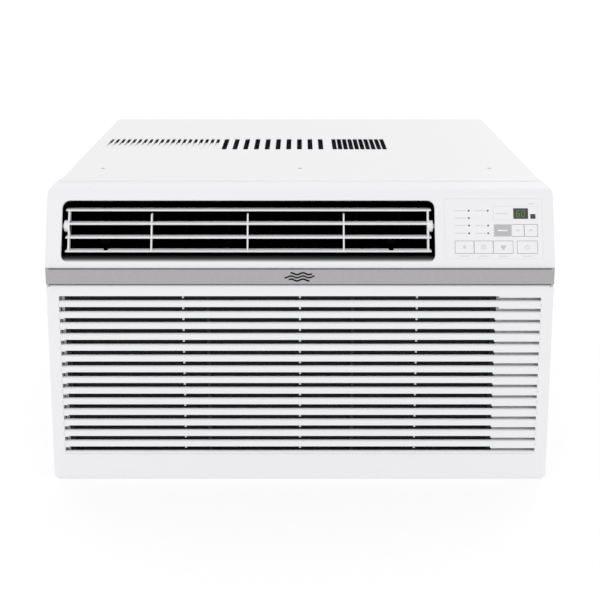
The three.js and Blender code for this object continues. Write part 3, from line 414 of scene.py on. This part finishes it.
def make_front_frame():
    low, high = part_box("front_frame")
    seam, top, half = high.y / MM, high.z / MM, high.x / MM
    head_low, wall, corner = BAND_LOW / MM, 3.0, 2.2
    foot_y, foot_z = FOOT.y / MM, FOOT.z / MM
    crease_y, crease_z = CREASE.y / MM, CREASE.z / MM
    outer = prism(
        [(seam, head_low), (seam, top), (crease_y, crease_z), (foot_y, foot_z), (foot_y + 1, foot_z),
         (foot_y + 1, head_low)],
        -half, half,
    )
    round_edges(
        outer, 7 * MM,
        lambda edge: runs_along(0)(edge) and (edge.verts[0].co.yz - CREASE.yz).length < 0.1 * MM, 8,
    )
    arch = mm_block((-half, foot_y - 20, -60), (half, seam + 20, top), 10, 1, 10)
    head = carve(outer, arch, "INTERSECT")

    def near_end(vert):
        """Within 15 mm of an end, clear of the band and of the seam."""
        across, back, up = vert.co
        return abs(across) > (half - 15) * MM and up > head_low * MM + 12 * MM and back < seam * MM - 1 * MM

    round_edges(
        head, corner * MM,
        lambda edge: edge.calc_face_angle(0) > math.radians(28) and all(near_end(v) for v in edge.verts), 3,
    )
    inner = prism(
        [(seam + 1, head_low + wall), (seam + 1, top - wall), (crease_y + 3.5, crease_z - wall),
         (foot_y + 4, foot_z), (foot_y + 4, head_low + wall)],
        -half + 14, half - 12,
    )
    head = carve(head, inner)
    mouth = slope_block({**OUTLET, "low": LIP_LOW}, -6, 6, radius=9)
    holes = gather(mouth, slope_block(OVERLAY, -1.2, 6, radius=1.5))
    holes.transform(ON_SLOPE)
    head = carve(head, holes)
    through = gather(
        *[slope_block(area, -6, 3, 0.35) for area in KEY_AREAS],
        slope_block(WINDOW, -6, 3, 0.3),
        slope_block(RECEIVER, -6, 3, 0.3),
    )
    through.transform(ON_SLOPE)
    head = carve(head, through)
    # The band wraps round the corners, so the head stands back under its returns.
    band_back, inside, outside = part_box("trim_band")[1].y / MM, 297.5, 310
    returns = [
        mm_block((min(s * inside, s * outside), -300, head_low - 1),
                 (max(s * inside, s * outside), band_back + 0.2, BAND_HIGH / MM + 0.2))
        for s in (1, -1)
    ]
    head = carve(head, gather(*returns))
    node_piece("front_frame", head, edge=0.9, crease=32, segments=3)

    # Lower lip of the outlet: it rolls back from the face into the dark of the duct.
    turns = [math.radians(a) for a in range(0, 91, 9)]
    roll = [(LIP_LOW - 0.3 + LIP_ROLL * math.sin(t), LIP_ROLL * (math.cos(t) - 1) - 0.05) for t in turns]
    spots = [ON_SLOPE @ Vector((0, v * MM, d * MM)) for v, d in roll + [(LIP_LOW - 0.3, -LIP_ROLL)]]
    lip = prism([(spot.y / MM, spot.z / MM) for spot in spots], OUTLET["left"], OUTLET["right"])
    make_piece("outlet_lip", lip, "white_plastic", "chassis", crease=60, look=LIP_SHADE)

    # Below the head: the ring that meets the case, and the ears that hold the grille's pins.
    shell = round_edges(
        mm_block((-half, RING_FRONT, 0), (half, seam, head_low + 1)), 6 * MM,
        lambda e: runs_along(1)(e) and e.verts[0].co.z < 0.1, 5,
    )
    shell = carve(shell, mm_block((-half + wall, RING_FRONT - 1, 5), (half - wall, seam + 1, head_low)))
    make_piece("front_ring", shell, "white_plastic", "chassis", edge=0.5)
    ears = gather(
        *[mm_block((s * EAR_X - EAR_WIDE / 2, HINGE.y, HINGE.z - 1.4),
                   (s * EAR_X + EAR_WIDE / 2, HINGE.y + 8, head_low + 1)) for s in (-1, 1)],
        *[rod((s * EAR_X, HINGE.y, HINGE.z), 0, EAR_ROD, EAR_WIDE, 32) for s in (-1, 1)],
    )
    make_piece("hinge_ears", ears, "white_plastic", "chassis", edge=0.3)


def make_filter_holder():
    low, high = (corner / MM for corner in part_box("filter_holder"))
    front, back = RING_FRONT, high.y
    plate = carve(
        mm_block((low.x, front, low.z), (high.x, back, high.z), 3, 1),
        mm_block((-279, front - 1, 18), (231, back + 1, 231), 3, 1),
    )
    latches = [mm_block((s * HOOK_X - 3, front - 1, 18), (s * HOOK_X + 3, back + 1, 30)) for s in (-1, 1)]
    plate = carve(plate, gather(*latches))
    rails = gather(
        mm_block((240, -268.5, 12), (290, front + 0.5, 236), 1.5, 2),
        mm_block((-290, -269.5, 8), (-284, front + 0.5, 238)),
        mm_block((-285, -269.5, 8), (-280.5, -267, 238)),
        mm_block((234, -269.5, 8), (242, -267, 238)),
        mm_block((-290, -269.5, 237), (290, front + 0.5, high.z)),
    )
    node_piece("filter_holder", gather(plate, rails), edge=0.3)


def make_trim_band():
    low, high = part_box("trim_band")
    wall = Vector((2.2, 2.2, 0)) * MM
    upright = runs_along(2)

    def front_corner(edge):
        return upright(edge) and edge.verts[0].co.y < -0.27

    body = round_edges(block(low, high + Vector((0, 0.006, 0))), 5 * MM, front_corner, 6)
    inner = block(low + wall - Vector((0, 0, 0.01)), high + Vector((-wall.x, 0.02, 0.01)))
    band = carve(body, round_edges(inner, 3 * MM, front_corner, 5))
    behind = block((low.x - 0.01, high.y, low.z - 0.01), (high.x + 0.01, high.y + 0.05, high.z + 0.01))
    band = carve(band, behind)
    node_piece("trim_band", band, edge=0.5, crease=40)

    face, middle, inset, tall = low.y, (low.z + high.z) / 2, 4.5 * MM, 1.0 * MM
    # Two thin dark strips at the top and bottom of the band's face: painted shadow for the shade in the gaps above
    # and below the band.
    lines = [
        block((low.x + inset, face - 0.04 * MM, z), (high.x - inset, face + 0.1 * MM, z + tall))
        for z in (low.z, high.z - tall)
    ]
    make_piece("band_gap_shadow_strips", gather(*lines), "silver_trim", "chassis", look=BAND_GAP_SHADOW)

    # A plain mark in the middle of the band: three strokes of moving air.
    strokes, steps, swing, wave = [], 30, 1.1, 14
    for row, (start, end) in zip((-3.8, 0, 3.8), ((-13, 11), (-18, 17), (-11, 14))):
        across = [start + (end - start) * i / steps for i in range(steps + 1)]
        points = [(x, row + swing * math.sin(2 * math.pi * x / wave)) for x in across]
        strokes += line(points, 1.9, high=0.12)
    mark = gather(*strokes)
    mark.transform(Matrix.Translation((0, face + 0.02 * MM, middle)) @ Matrix.Rotation(math.pi / 2, 4, "X"))
    make_piece("air_mark", mark, "silver_trim", "chassis", look=MARK_GREY)


def key_symbol(name, x, v):
    """The plain mark on a key, centred on (x, v) of the slope."""
    on_key = {"base": 0.12, "high": 0.08}
    if name == "mode_button":
        arms = [(2.6 * math.cos(t), 2.6 * math.sin(t)) for t in (math.pi / 2, math.pi / 6, -math.pi / 6)]
        return [stroke((x - out, v - up), (x + out, v + up), 0.5, **on_key) for out, up in arms]
    if name == "timer_button":
        return ring(x, v, 2.6, 0.5, **on_key) + line([(x, v + 1.6), (x, v), (x + 1.4, v)], 0.5, **on_key)
    if name == "fan_speed_button":
        centres = [(x + 1.7 * math.cos(2.1 * t + 0.5), v + 1.7 * math.sin(2.1 * t + 0.5)) for t in range(3)]
        return [part for spot in centres for part in ring(*spot, 1.0, 0.8, steps=7, **on_key)]
    if name == "power_button":
        return ring(x, v, 2.5, 0.5, 125, 415, **on_key) + [stroke((x, v + 0.4), (x, v + 2.9), 0.5, **on_key)]
    rise = 1.2 if name == "temp_up_button" else -1.2
    return line([(x - 2.4, v - rise), (x, v + rise), (x + 2.4, v - rise)], 0.6, **on_key)


def make_controls():
    keyholes = gather(
        *[slope_block(area, -3, 3, 0.3, 1.0) for area in KEY_AREAS],
        slope_block(WINDOW, -3, 3, 0.2),
        slope_block(RECEIVER, -3, 3, 0.2),
        *[rod((x, v, 0), 2, 1.25, 6, 12) for x, v in LAMPS],
    )
    sheet = carve(slope_block(OVERLAY, -1.0, -0.06, -0.08, 1.5), keyholes)
    sheet.transform(ON_SLOPE)
    node_piece("control_overlay", sheet)

    pane = slope_block(WINDOW, -3.5, -0.15, radius=0.8)
    pane.transform(ON_SLOPE)
    node_piece("display_window", pane, edge=0.2)
    eye = slope_block(RECEIVER, -3.5, -0.15, -0.3, 0.8)
    eye.transform(ON_SLOPE)
    node_piece("remote_receiver", eye, edge=0.2, look=EYE_GREY)
    lamp_bar = mm_block((196.5, 38.5, -6.5), (225.5, 71, -5))
    lamps = gather(*[rod((x, v, -2.6), 2, 1.1, 5, 16) for x, v in LAMPS], lamp_bar)
    lamps.transform(ON_SLOPE)
    node_piece("indicator_lamps", lamps, look=LAMP_TINT, edge=0.2)

    # Seven-segment digits, six and nought.
    foot, height, width, lean = 61.1, 7.0, 3.6, 0.08
    corners = {"a": ((0, 2), (1, 2)), "b": ((1, 2), (1, 1)), "c": ((1, 1), (1, 0)), "d": ((0, 0), (1, 0)),
               "e": ((0, 1), (0, 0)), "f": ((0, 2), (0, 1)), "g": ((0, 1), (1, 1))}
    digits = []
    for start, segments in ((255.9, "acdefg"), (261.9, "abcdef")):
        for key in segments:
            ends = []
            for i, k in corners[key]:
                v = foot + k * height / 2
                ends.append(Vector((start + i * width + (v - foot) * lean, v)))
            near, far = (tuple(ends[0].lerp(ends[1], share)) for share in (0.1, 0.9))
            digits.append(stroke(near, far, 0.75, high=0.08, base=-0.18))
    printed("display_digits", digits, "chassis", DIGIT_GREEN, "smoked_window")

    on_sheet = {"base": -0.12, "high": 0.08}
    outlines = [
        *outline_box(228.8, 56.9, 280.8, 73.4, 0.35, **on_sheet),
        *outline_box(228.8, 37.0, 281.0, 52.0, 0.35, **on_sheet),
        *outline_box(182.2, 16.8, 251.4, 32.3, 0.35, **on_sheet),
        *outline_box(255.6, 16.8, 280.3, 32.3, 0.35, **on_sheet),
    ]
    printed("panel_outlines", outlines, "chassis", PALE_PRINT)
    label_rows = [(183.5, 196.5, v) for v in MODE_ROWS] + [(207.5, 218.5, v) for v in SPEED_ROWS]
    labels = [stroke((x0, v), (x1, v), 1.1, **on_sheet) for x0, x1, v in label_rows]
    labels += [stroke((x - 5.5, 13.9), (x + 5.5, 13.9), 1.1, **on_sheet) for x in (193.8, 216.4, 239.6, 267.9)]
    labels.append(stroke((270, 76.5), (277, 76.5), 1.1, **on_sheet))
    labels.append(stroke((232, 64.5), (246, 64.5), 1.2, **on_sheet))
    printed("panel_labels", labels, "chassis", PALE_PRINT)
    patch = slope_block({"left": 229.2, "right": 249.2, "low": 37.4, "high": 51.6}, -0.12, -0.04)
    bright = stroke((234, 44.5), (244.5, 44.5), 1.6, base=-0.05, high=0.06)
    printed("temperature_patch", [patch], "chassis", PATCH_GREY)
    printed("temperature_label", [bright], "chassis", FINISHES["white_plastic"])

    for name, (x0, x1, (v0, v1)) in KEYS.items():
        x, v = (x0 + x1) / 2, (v0 + v1) / 2
        cap = mm_block((x0, v0, -5), (x1, v1, 0.15), 0.9, 2)
        stem = mm_block((x - 2, v - 2, -9.7), (x + 2, v + 2, -4.5))
        key = gather(cap, stem)
        key.transform(ON_SLOPE)
        node_piece(name, key, edge=0.25)
        printed(name + "_symbol", key_symbol(name, x, v), name, PRINT_GREY)


# ---------------------------------------------------------------- louvres
def make_louvre_grid():
    low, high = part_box("louvre_grid")
    centre_x = (low.x + high.x) / 2 / MM
    axis = joint_place("louvre_tilt")
    middle_up, pitch, depth, thick, recess, half = 44.3, 16.4, 12.0, 2.2, 4.0, 216.5

    def front_of(blade):
        point = ON_SLOPE @ Vector((0, (middle_up + (1.5 - blade) * pitch) * MM, -recess * MM))
        return point.y / MM, point.z / MM

    blades = []
    for k in range(4):
        y, z = front_of(k)
        blade = mm_block((centre_x - half, y, z - thick / 2), (centre_x + half, y + depth, z + thick / 2))
        round_edges(blade, 1.0 * MM, lambda e: runs_along(0)(e), 3)
        if k == 3:
            for side in (-1, 1):
                x, notch_y, notch_half = centre_x + side * 169.4, y + 4.6, 2.8
                way_out = mm_block((x - notch_half, notch_y, z - 4), (x + notch_half, y + 20, z + 4))
                notch = carve(rod((x, notch_y, z), 2, notch_half, 8, 24), way_out, "UNION")
                blade = carve(blade, notch)
        blades.append(blade)
    foot_y, foot_z = front_of(3)

    def upright(x, width, deep, reach):
        """A bar across the blades, from the lowest up to the one at reach."""
        top_y, top_z = front_of(reach)
        side = [(foot_y + 1.5, foot_z), (foot_y + 1.5 + deep, foot_z),
                (top_y + 1.5 + deep, top_z), (top_y + 1.5, top_z)]
        return prism(side, x - width / 2, x + width / 2)

    uprights = [upright(centre_x - 1 + s * 114, 1.8, 7, 0.3) for s in (-1, 0, 1)]
    uprights += [upright(centre_x + s * 213, 2.2, 9, 0) for s in (-1, 1)]
    y0, z0 = axis.y / MM, axis.z / MM
    bosses = []
    for s in (-1, 1):
        bosses.append(rod((centre_x + s * 215.2, y0, z0), 0, 7, 6.6, 32))
        bosses.append(rod((centre_x + s * 219.5, y0, z0), 0, 3, 6, 20))
    node_piece("louvre_grid", gather(*blades, *uprights, *bosses), edge=0.35, crease=50)


# ---------------------------------------------------------------- intake grille and filter
SLOT = {"count": 15, "pitch": 13.6, "top": 230.9, "height": 5.6, "half": 285.0}


def make_intake_grille():
    low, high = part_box("intake_grille")
    half, panel = high.x / MM, low.y / MM
    hinge_y, hinge_z, wall = HINGE.y, HINGE.z, 3.0
    shell = mm_block((-half, panel, low.z / MM), (half, -262, hinge_z), 0)
    round_edges(shell, 6 * MM, lambda e: runs_along(1)(e) and e.verts[0].co.z < 0.1, 5)
    round_edges(
        shell, 3.6 * MM,
        lambda e: all(v.co.y < panel * MM + 1e-5 for v in e.verts)
        and not (runs_along(0)(e) and e.verts[0].co.z > 0.2), 5,
    )
    inner = mm_block((-half + wall, panel + wall, low.z / MM + wall), (half - wall, -250, hinge_z + 5), 3, 1)
    shell = carve(shell, inner)
    window_low = SLOT["top"] - (SLOT["count"] - 1) * SLOT["pitch"] - SLOT["height"] / 2
    window_high = SLOT["top"] + SLOT["height"] / 2
    reach = SLOT["half"]
    window = mm_block((-reach, panel - 2, window_low - 3.2), (reach, panel + wall + 1, window_high), 1.5, 1)
    shell = carve(shell, window)
    # The filter slides down behind the panel, so the panel's floor stops short of it.
    floor = low.z / MM
    shell = carve(shell, mm_block((-half + wall, -270, floor - 1), (half - wall, -255, floor + wall + 1)))
    barrel = rod((0, hinge_y, hinge_z), 0, 2.5, 2 * 295.0, 32)
    shell = carve(shell, barrel, "UNION")
    # Room for the ears at both ends of the barrel.
    notch_x = 298.1
    notches = [
        mm_block((s * notch_x - 3, hinge_y - 1.9, hinge_z - 2.4), (s * notch_x + 3, -255, 250)) for s in (-1, 1)
    ]
    shell = carve(shell, gather(*notches))
    hooks = [mm_block((s * HOOK_X - 2, panel + 1, 20), (s * HOOK_X + 2, -254, 28)) for s in (-1, 1)]
    node_piece("intake_grille", gather(shell, *hooks), edge=0.4, crease=45)

    # Slats: a flat face, a top that rolls back to a crest, and a back that falls away behind it.
    slats, blanks = [], []
    slat_back, face, roll_deep, roll_high = -270.5, SLOT["pitch"] - SLOT["height"], 3.6, 2.6
    for k in range(SLOT["count"]):
        base = SLOT["top"] + SLOT["height"] / 2 - (k + 1) * SLOT["pitch"]
        crest = base + face - 0.3
        turns = [math.radians(a) for a in range(0, 91, 15)]
        roll = [(panel + roll_deep * (1 - math.cos(t)), crest - roll_high * (1 - math.sin(t))) for t in turns]
        foot = [(panel, base + 0.5), (panel + 0.5, base), (panel + 2.6, base)]
        if k == SLOT["count"] - 1:
            ledge = crest - roll_high - 0.6
            foot = [(panel, ledge), (panel + 0.1, ledge), (panel + 2.6, base)]
        outline = foot + [(slat_back, crest - 5), (slat_back, crest - 3.2)] + roll[::-1]
        slats.append(prism(outline, -reach - 1, reach + 1))
        above = base + SLOT["pitch"]
        start = 235.5 if k < 2 else 231
        blanks.append(mm_block((start, panel + 0.3, above - 2.1), (reach + 0.5, panel + 2.4, above + 0.4)))
        if k > 1:
            left_end = mm_block((-reach - 0.5, panel + 0.4, above - 1.1), (-reach + 5, panel + 1.6, above + 0.4))
            blanks.append(left_end)
    make_piece("grille_slats", gather(*slats), "white_plastic", "intake_grille", crease=40)
    make_piece("slot_blanks", gather(*blanks), "white_plastic", "intake_grille", edge=0.2)
    bases = [SLOT["top"] + SLOT["height"] / 2 - k * SLOT["pitch"] for k in range(SLOT["count"])]
    ribs = [
        mm_block((x - 1.2, panel + 7.0, base - 4.8), (x + 1.2, slat_back, base + 1))
        for x in (-139, 0, 139) for base in bases
    ]
    ends = [
        mm_block((min(s * reach, s * 290), panel + 1.2, window_low - 4),
                 (max(s * reach, s * 290), slat_back, window_high + 4))
        for s in (-1, 1)
    ]
    make_piece("grille_ribs", gather(*ribs, *ends), "white_plastic", "intake_grille", edge=0.3)


def make_filter():
    low, high = (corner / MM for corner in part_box("filter_frame"))
    front, back, border = low.y + 1.3, high.y, 8.0
    rim = carve(
        mm_block((low.x, front, low.z), (high.x, back, high.z), 3, 1),
        mm_block((low.x + border, front - 1, low.z + border),
                 (high.x - border, back + 1, high.z - border), 2, 1),
    )
    third, middle = (high.x - low.x) / 3, (low.z + high.z) / 2
    bars = [
        mm_block((low.x + i * third - 2, front + 0.4, low.z + 2), (low.x + i * third + 2, back, high.z - 2))
        for i in (1, 2)
    ]
    bars.append(mm_block((low.x + 2, front + 0.4, middle - 2), (high.x - 2, back, middle + 2)))
    grips = [
        mm_block((x, front - 1.3, high.z - 9), (x + 12, front + 1, high.z), 1, 1)
        for x in (low.x + 21, high.x - 32)
    ]
    node_piece("filter_frame", gather(rim, *bars, *grips), edge=0.3, look=FILTER_GREY)
    net = frame["nodes"]["filter_net"]
    net.data.materials.clear()
    net.data.materials.append(FINISHES["filter_net"])


# ---------------------------------------------------------------- case
# Rows of slots in the top, each as (start, pitch, width, count).
TOP_GROUPS = ((-273.6, 8.06, 4.6, 20), (-109.2, 15.0, 6.8, 10), (45.4, 7.72, 6.1, 10))
SLOT_LOW, SLOT_HIGH = 6.6, 94.8
SIDE_X = 294


def make_case():
    low, high = (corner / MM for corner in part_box("case"))
    sheet = 1.2
    shell = mm_block((low.x, low.y, low.z), (high.x, high.y, high.z))
    round_edges(shell, 4 * MM, lambda e: runs_along(1)(e) and e.verts[0].co.z > 0.1, 5)
    bore = mm_block((low.x + sheet, low.y - 1, low.z - 5), (high.x - sheet, high.y - sheet, high.z - sheet))
    round_edges(bore, 2.8 * MM, lambda e: runs_along(1)(e) and e.verts[0].co.z > 0.1, 5)
    shell = carve(shell, bore)
    shell = carve(shell, mm_block((low.x + 14, high.y - 5, -10), (high.x - 14, high.y + 5, high.z - 12), 6, 1))
    cuts = [
        mm_block((start + i * pitch, SLOT_LOW, high.z - 3), (start + i * pitch + width, SLOT_HIGH, high.z + 3),
                 min(width / 2 - 0.2, 2.2), 2, 3)
        for start, pitch, width, count in TOP_GROUPS for i in range(count)
    ]
    cuts += [rod((x, -131, high.z), 2, 2.75, 6, 20) for x in (-252, 0, 242)]
    cuts += [
        mm_block((s * SIDE_X - 4, 50 + i * 18, 120), (s * SIDE_X + 4, 57 + i * 18, 250), 3, 0, 4)
        for i in range(10) for s in (-1, 1)
    ]
    cuts += [rod((s * SIDE_X, -180, 13), 0, 2.3, 8, 16) for s in (-1, 1)]
    shell = carve(shell, gather(*cuts))
    node_piece("case", shell, edge=0.25, crease=50, segments=2)

    # Pressed louvres of the left group: tongues that dip towards the back.
    start, pitch, width, count = TOP_GROUPS[0]
    tongues = []
    for i in range(count):
        x = start + i * pitch + 0.05
        outline = [(SLOT_LOW, high.z - 0.1), (SLOT_LOW + 20, high.z - 0.3), (SLOT_HIGH - 20, high.z - 2.6),
                   (SLOT_HIGH - 4, high.z - 5.5)]
        tongues.append(prism(outline + [(y, z - 1.0) for y, z in outline[::-1]], x, x + width - 0.1))
    make_piece("pressed_louvres", gather(*tongues), "white_steel", "chassis", crease=40)


# ---------------------------------------------------------------- coils
def make_coil(node, rows, fin_pitch=2.6, tube=3.6, apart=9):
    """A fin block between end plates, with two banks of tubes and their bends."""
    low, high = (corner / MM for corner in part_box(node))
    left, right = low.x + 7, high.x - 7
    step, middle = (high.z - low.z) / rows, (low.y + high.y) / 2
    count = int((right - left - 2) / fin_pitch)
    fins = [
        mm_block((left + 1 + (i + 0.5) * fin_pitch - 0.18, low.y + 1, low.z + 1),
                 (left + 1 + (i + 0.5) * fin_pitch + 0.18, high.y - 1, high.z - 1))
        for i in range(count)
    ]
    fins += [mm_block((x - 1, low.y, low.z), (x + 1, high.y, high.z)) for x in (left, right)]
    node_piece(node, gather(*fins))
    tubes = [
        rod((0.5 * (left + right), y, low.z + (i + 0.5) * step), 0, tube, right - left + 6, 14)
        for i in range(rows) for y in (middle - apart, middle + apart)
    ]
    bends = []
    for side, x in ((-1, left - 2), (1, right + 2)):
        for i in range(rows):
            bm = bmesh.new()
            z = low.z + (i + 0.5) * step
            bmesh.ops.create_circle(bm, segments=12, radius=tube * MM)
            bmesh.ops.rotate(bm, matrix=Matrix.Rotation(math.pi / 2, 3, "Y"), verts=bm.verts)
            bmesh.ops.translate(bm, vec=Vector((x, middle - apart, z)) * MM, verts=bm.verts)
            centre = Vector((x, middle, z)) * MM
            bmesh.ops.spin(bm, geom=bm.edges[:], cent=centre, axis=(0, 0, 1), angle=side * math.pi, steps=8)
            bmesh.ops.scale(bm, vec=(0.12, 1, 1), space=Matrix.Translation(-centre), verts=bm.verts)
            bmesh.ops.recalc_face_normals(bm, faces=bm.faces)
            bends.append(bm)
    make_piece(node + "_tubes", gather(*tubes, *bends), "copper_tube", "chassis", crease=50)


# ---------------------------------------------------------------- boards and screws
# Parts on the main board: place as shares of its width and height, then wide, tall and deep.
BOARD_PARTS = (
    (0.15, 0.3, 14, 18, 12), (0.38, 0.25, 10, 10, 9), (0.6, 0.7, 16, 10, 6), (0.2, 0.75, 9, 9, 10),
    (0.45, 0.7, 6, 14, 7),
)


def make_main_board():
    refined("main_board", 0)
    low, high = (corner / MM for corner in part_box("main_board"))
    parts = []
    for across, up, wide, tall, deep in BOARD_PARTS:
        x, z = low.x + across * (high.x - low.x), low.z + up * (high.z - low.z)
        near, far = (x - wide / 2, low.y - deep, z - tall / 2), (x + wide / 2, low.y + 0.2, z + tall / 2)
        parts.append(mm_block(near, far, 1, 1))
    make_piece("main_board_parts", gather(*parts), "circuit_board", "chassis", look=BOARD_PART, edge=0.3)


def make_case_screws():
    for side, node in ((-1, "case_screw_left"), (1, "case_screw_right")):
        low, high = (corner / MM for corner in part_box(node))
        y, z = (low.y + high.y) / 2, (low.z + high.z) / 2
        head = rod((side * 295.3, y, z), 0, 4.3, 2.0, 32)
        shank = rod((side * 289.4, y, z), 0, 1.9, 10.8, 16)
        face = side * 296.3
        across = mm_block((face - 1, y - 2.4, z - 0.5), (face + 1, y + 2.4, z + 0.5))
        upright = mm_block((face - 1, y - 0.5, z - 2.4), (face + 1, y + 0.5, z + 2.4))
        node_piece(node, gather(carve(carve(head, across), upright), shank), edge=0.3)


make_front_frame()
make_filter_holder()
make_trim_band()
make_controls()
make_louvre_grid()
make_intake_grille()
make_filter()
make_case()
make_coil("evaporator_coil", rows=9)
make_coil("condenser_coil", rows=12)
make_main_board()
make_case_screws()

# The rest keep their own shapes, with softened edges where there is a sheet or a moulding to soften.
REMODELLED = {
    "front_frame", "trim_band", "control_overlay", "display_window", "remote_receiver", "indicator_lamps",
    "louvre_grid", "intake_grille", "filter_frame", "filter_net", "case", "evaporator_coil", "condenser_coil",
    "main_board", "case_screw_left", "case_screw_right", "filter_holder", *KEYS,
}
EDGES = {
    "air_duct": 0, "blower_wheel": 0, "condenser_fan": 0.2, "blower_housing": 0.4, "fan_shroud": 0,
    "base_pan": 0, "bulkhead": 0, "suction_pipe": 0, "discharge_pipe": 0, "capillary_tube": 0, "compressor": 0.8,
}
for node in frame["nodes"]:
    if node not in REMODELLED:
        # Parts inside the duct take the near-black finish that also paints in the shade inside the outlet.
        in_duct = node in ("air_duct", "blower_housing", "blower_wheel") or node.startswith("vane")
        is_round = "pipe" in node or "tube" in node
        refined(node, EDGES.get(node, 0.3), 50 if is_round else 35, DUCT_BLACK_AND_SHADE if in_duct else None)


# ---------------------------------------------------------------- floor, light and camera
def make_floor():
    bm = bmesh.new()
    bmesh.ops.create_grid(bm, x_segments=1, y_segments=1, size=30)
    mesh = bpy.data.meshes.new("floor")
    bm.to_mesh(mesh)
    bm.free()
    floor = bpy.data.objects.new("floor", mesh)
    bpy.context.collection.objects.link(floor)
    paper = finish("pale_floor", (0.5, 0.5, 0.5), 0.95, relief=0, shine=0.0)
    surface = paper.node_tree.nodes["Principled BSDF"]
    surface.inputs["Emission Color"].default_value = (1, 1, 1, 1)
    surface.inputs["Emission Strength"].default_value = 0.52
    mesh.materials.append(paper)


def soft_light(name, place, aim, size, power):
    lamp = bpy.data.lights.new(name, "AREA")
    lamp.shape, lamp.size, lamp.energy = "SQUARE", size, power
    obj = bpy.data.objects.new(name, lamp)
    obj.location = place
    obj.rotation_euler = (Vector(aim) - Vector(place)).to_track_quat("-Z", "Y").to_euler()
    bpy.context.collection.objects.link(obj)


make_floor()
soft_light("overhead", (0.3, 0.2, 2.6), (0, 0, 0.3), 2.2, 1.0)
soft_light("front_left", (-1.6, -2.4, 1.5), (0, -0.2, 0.2), 1.8, 3.0)
soft_light("behind", (1.4, 2.4, 1.6), (0, 0.1, 0.2), 1.6, 3.0)

world = bpy.data.worlds.new("studio")
world.use_nodes = True
world.node_tree.nodes["Background"].inputs["Color"].default_value = (1, 1, 1, 1)
world.node_tree.nodes["Background"].inputs["Strength"].default_value = 1.0
bpy.context.scene.world = world
bpy.context.scene.view_settings.view_transform = "Standard"

looking_down = 12.5
lens = bpy.data.cameras.new("camera")
lens.lens, lens.sensor_width, lens.shift_y = 73.4, 36, -0.1643
camera = bpy.data.objects.new("camera", lens)
camera.location = (0, -1.667, 0.6555)
camera.rotation_euler = (math.radians(90 - looking_down), 0, 0)
bpy.context.collection.objects.link(camera)
bpy.context.scene.camera = camera
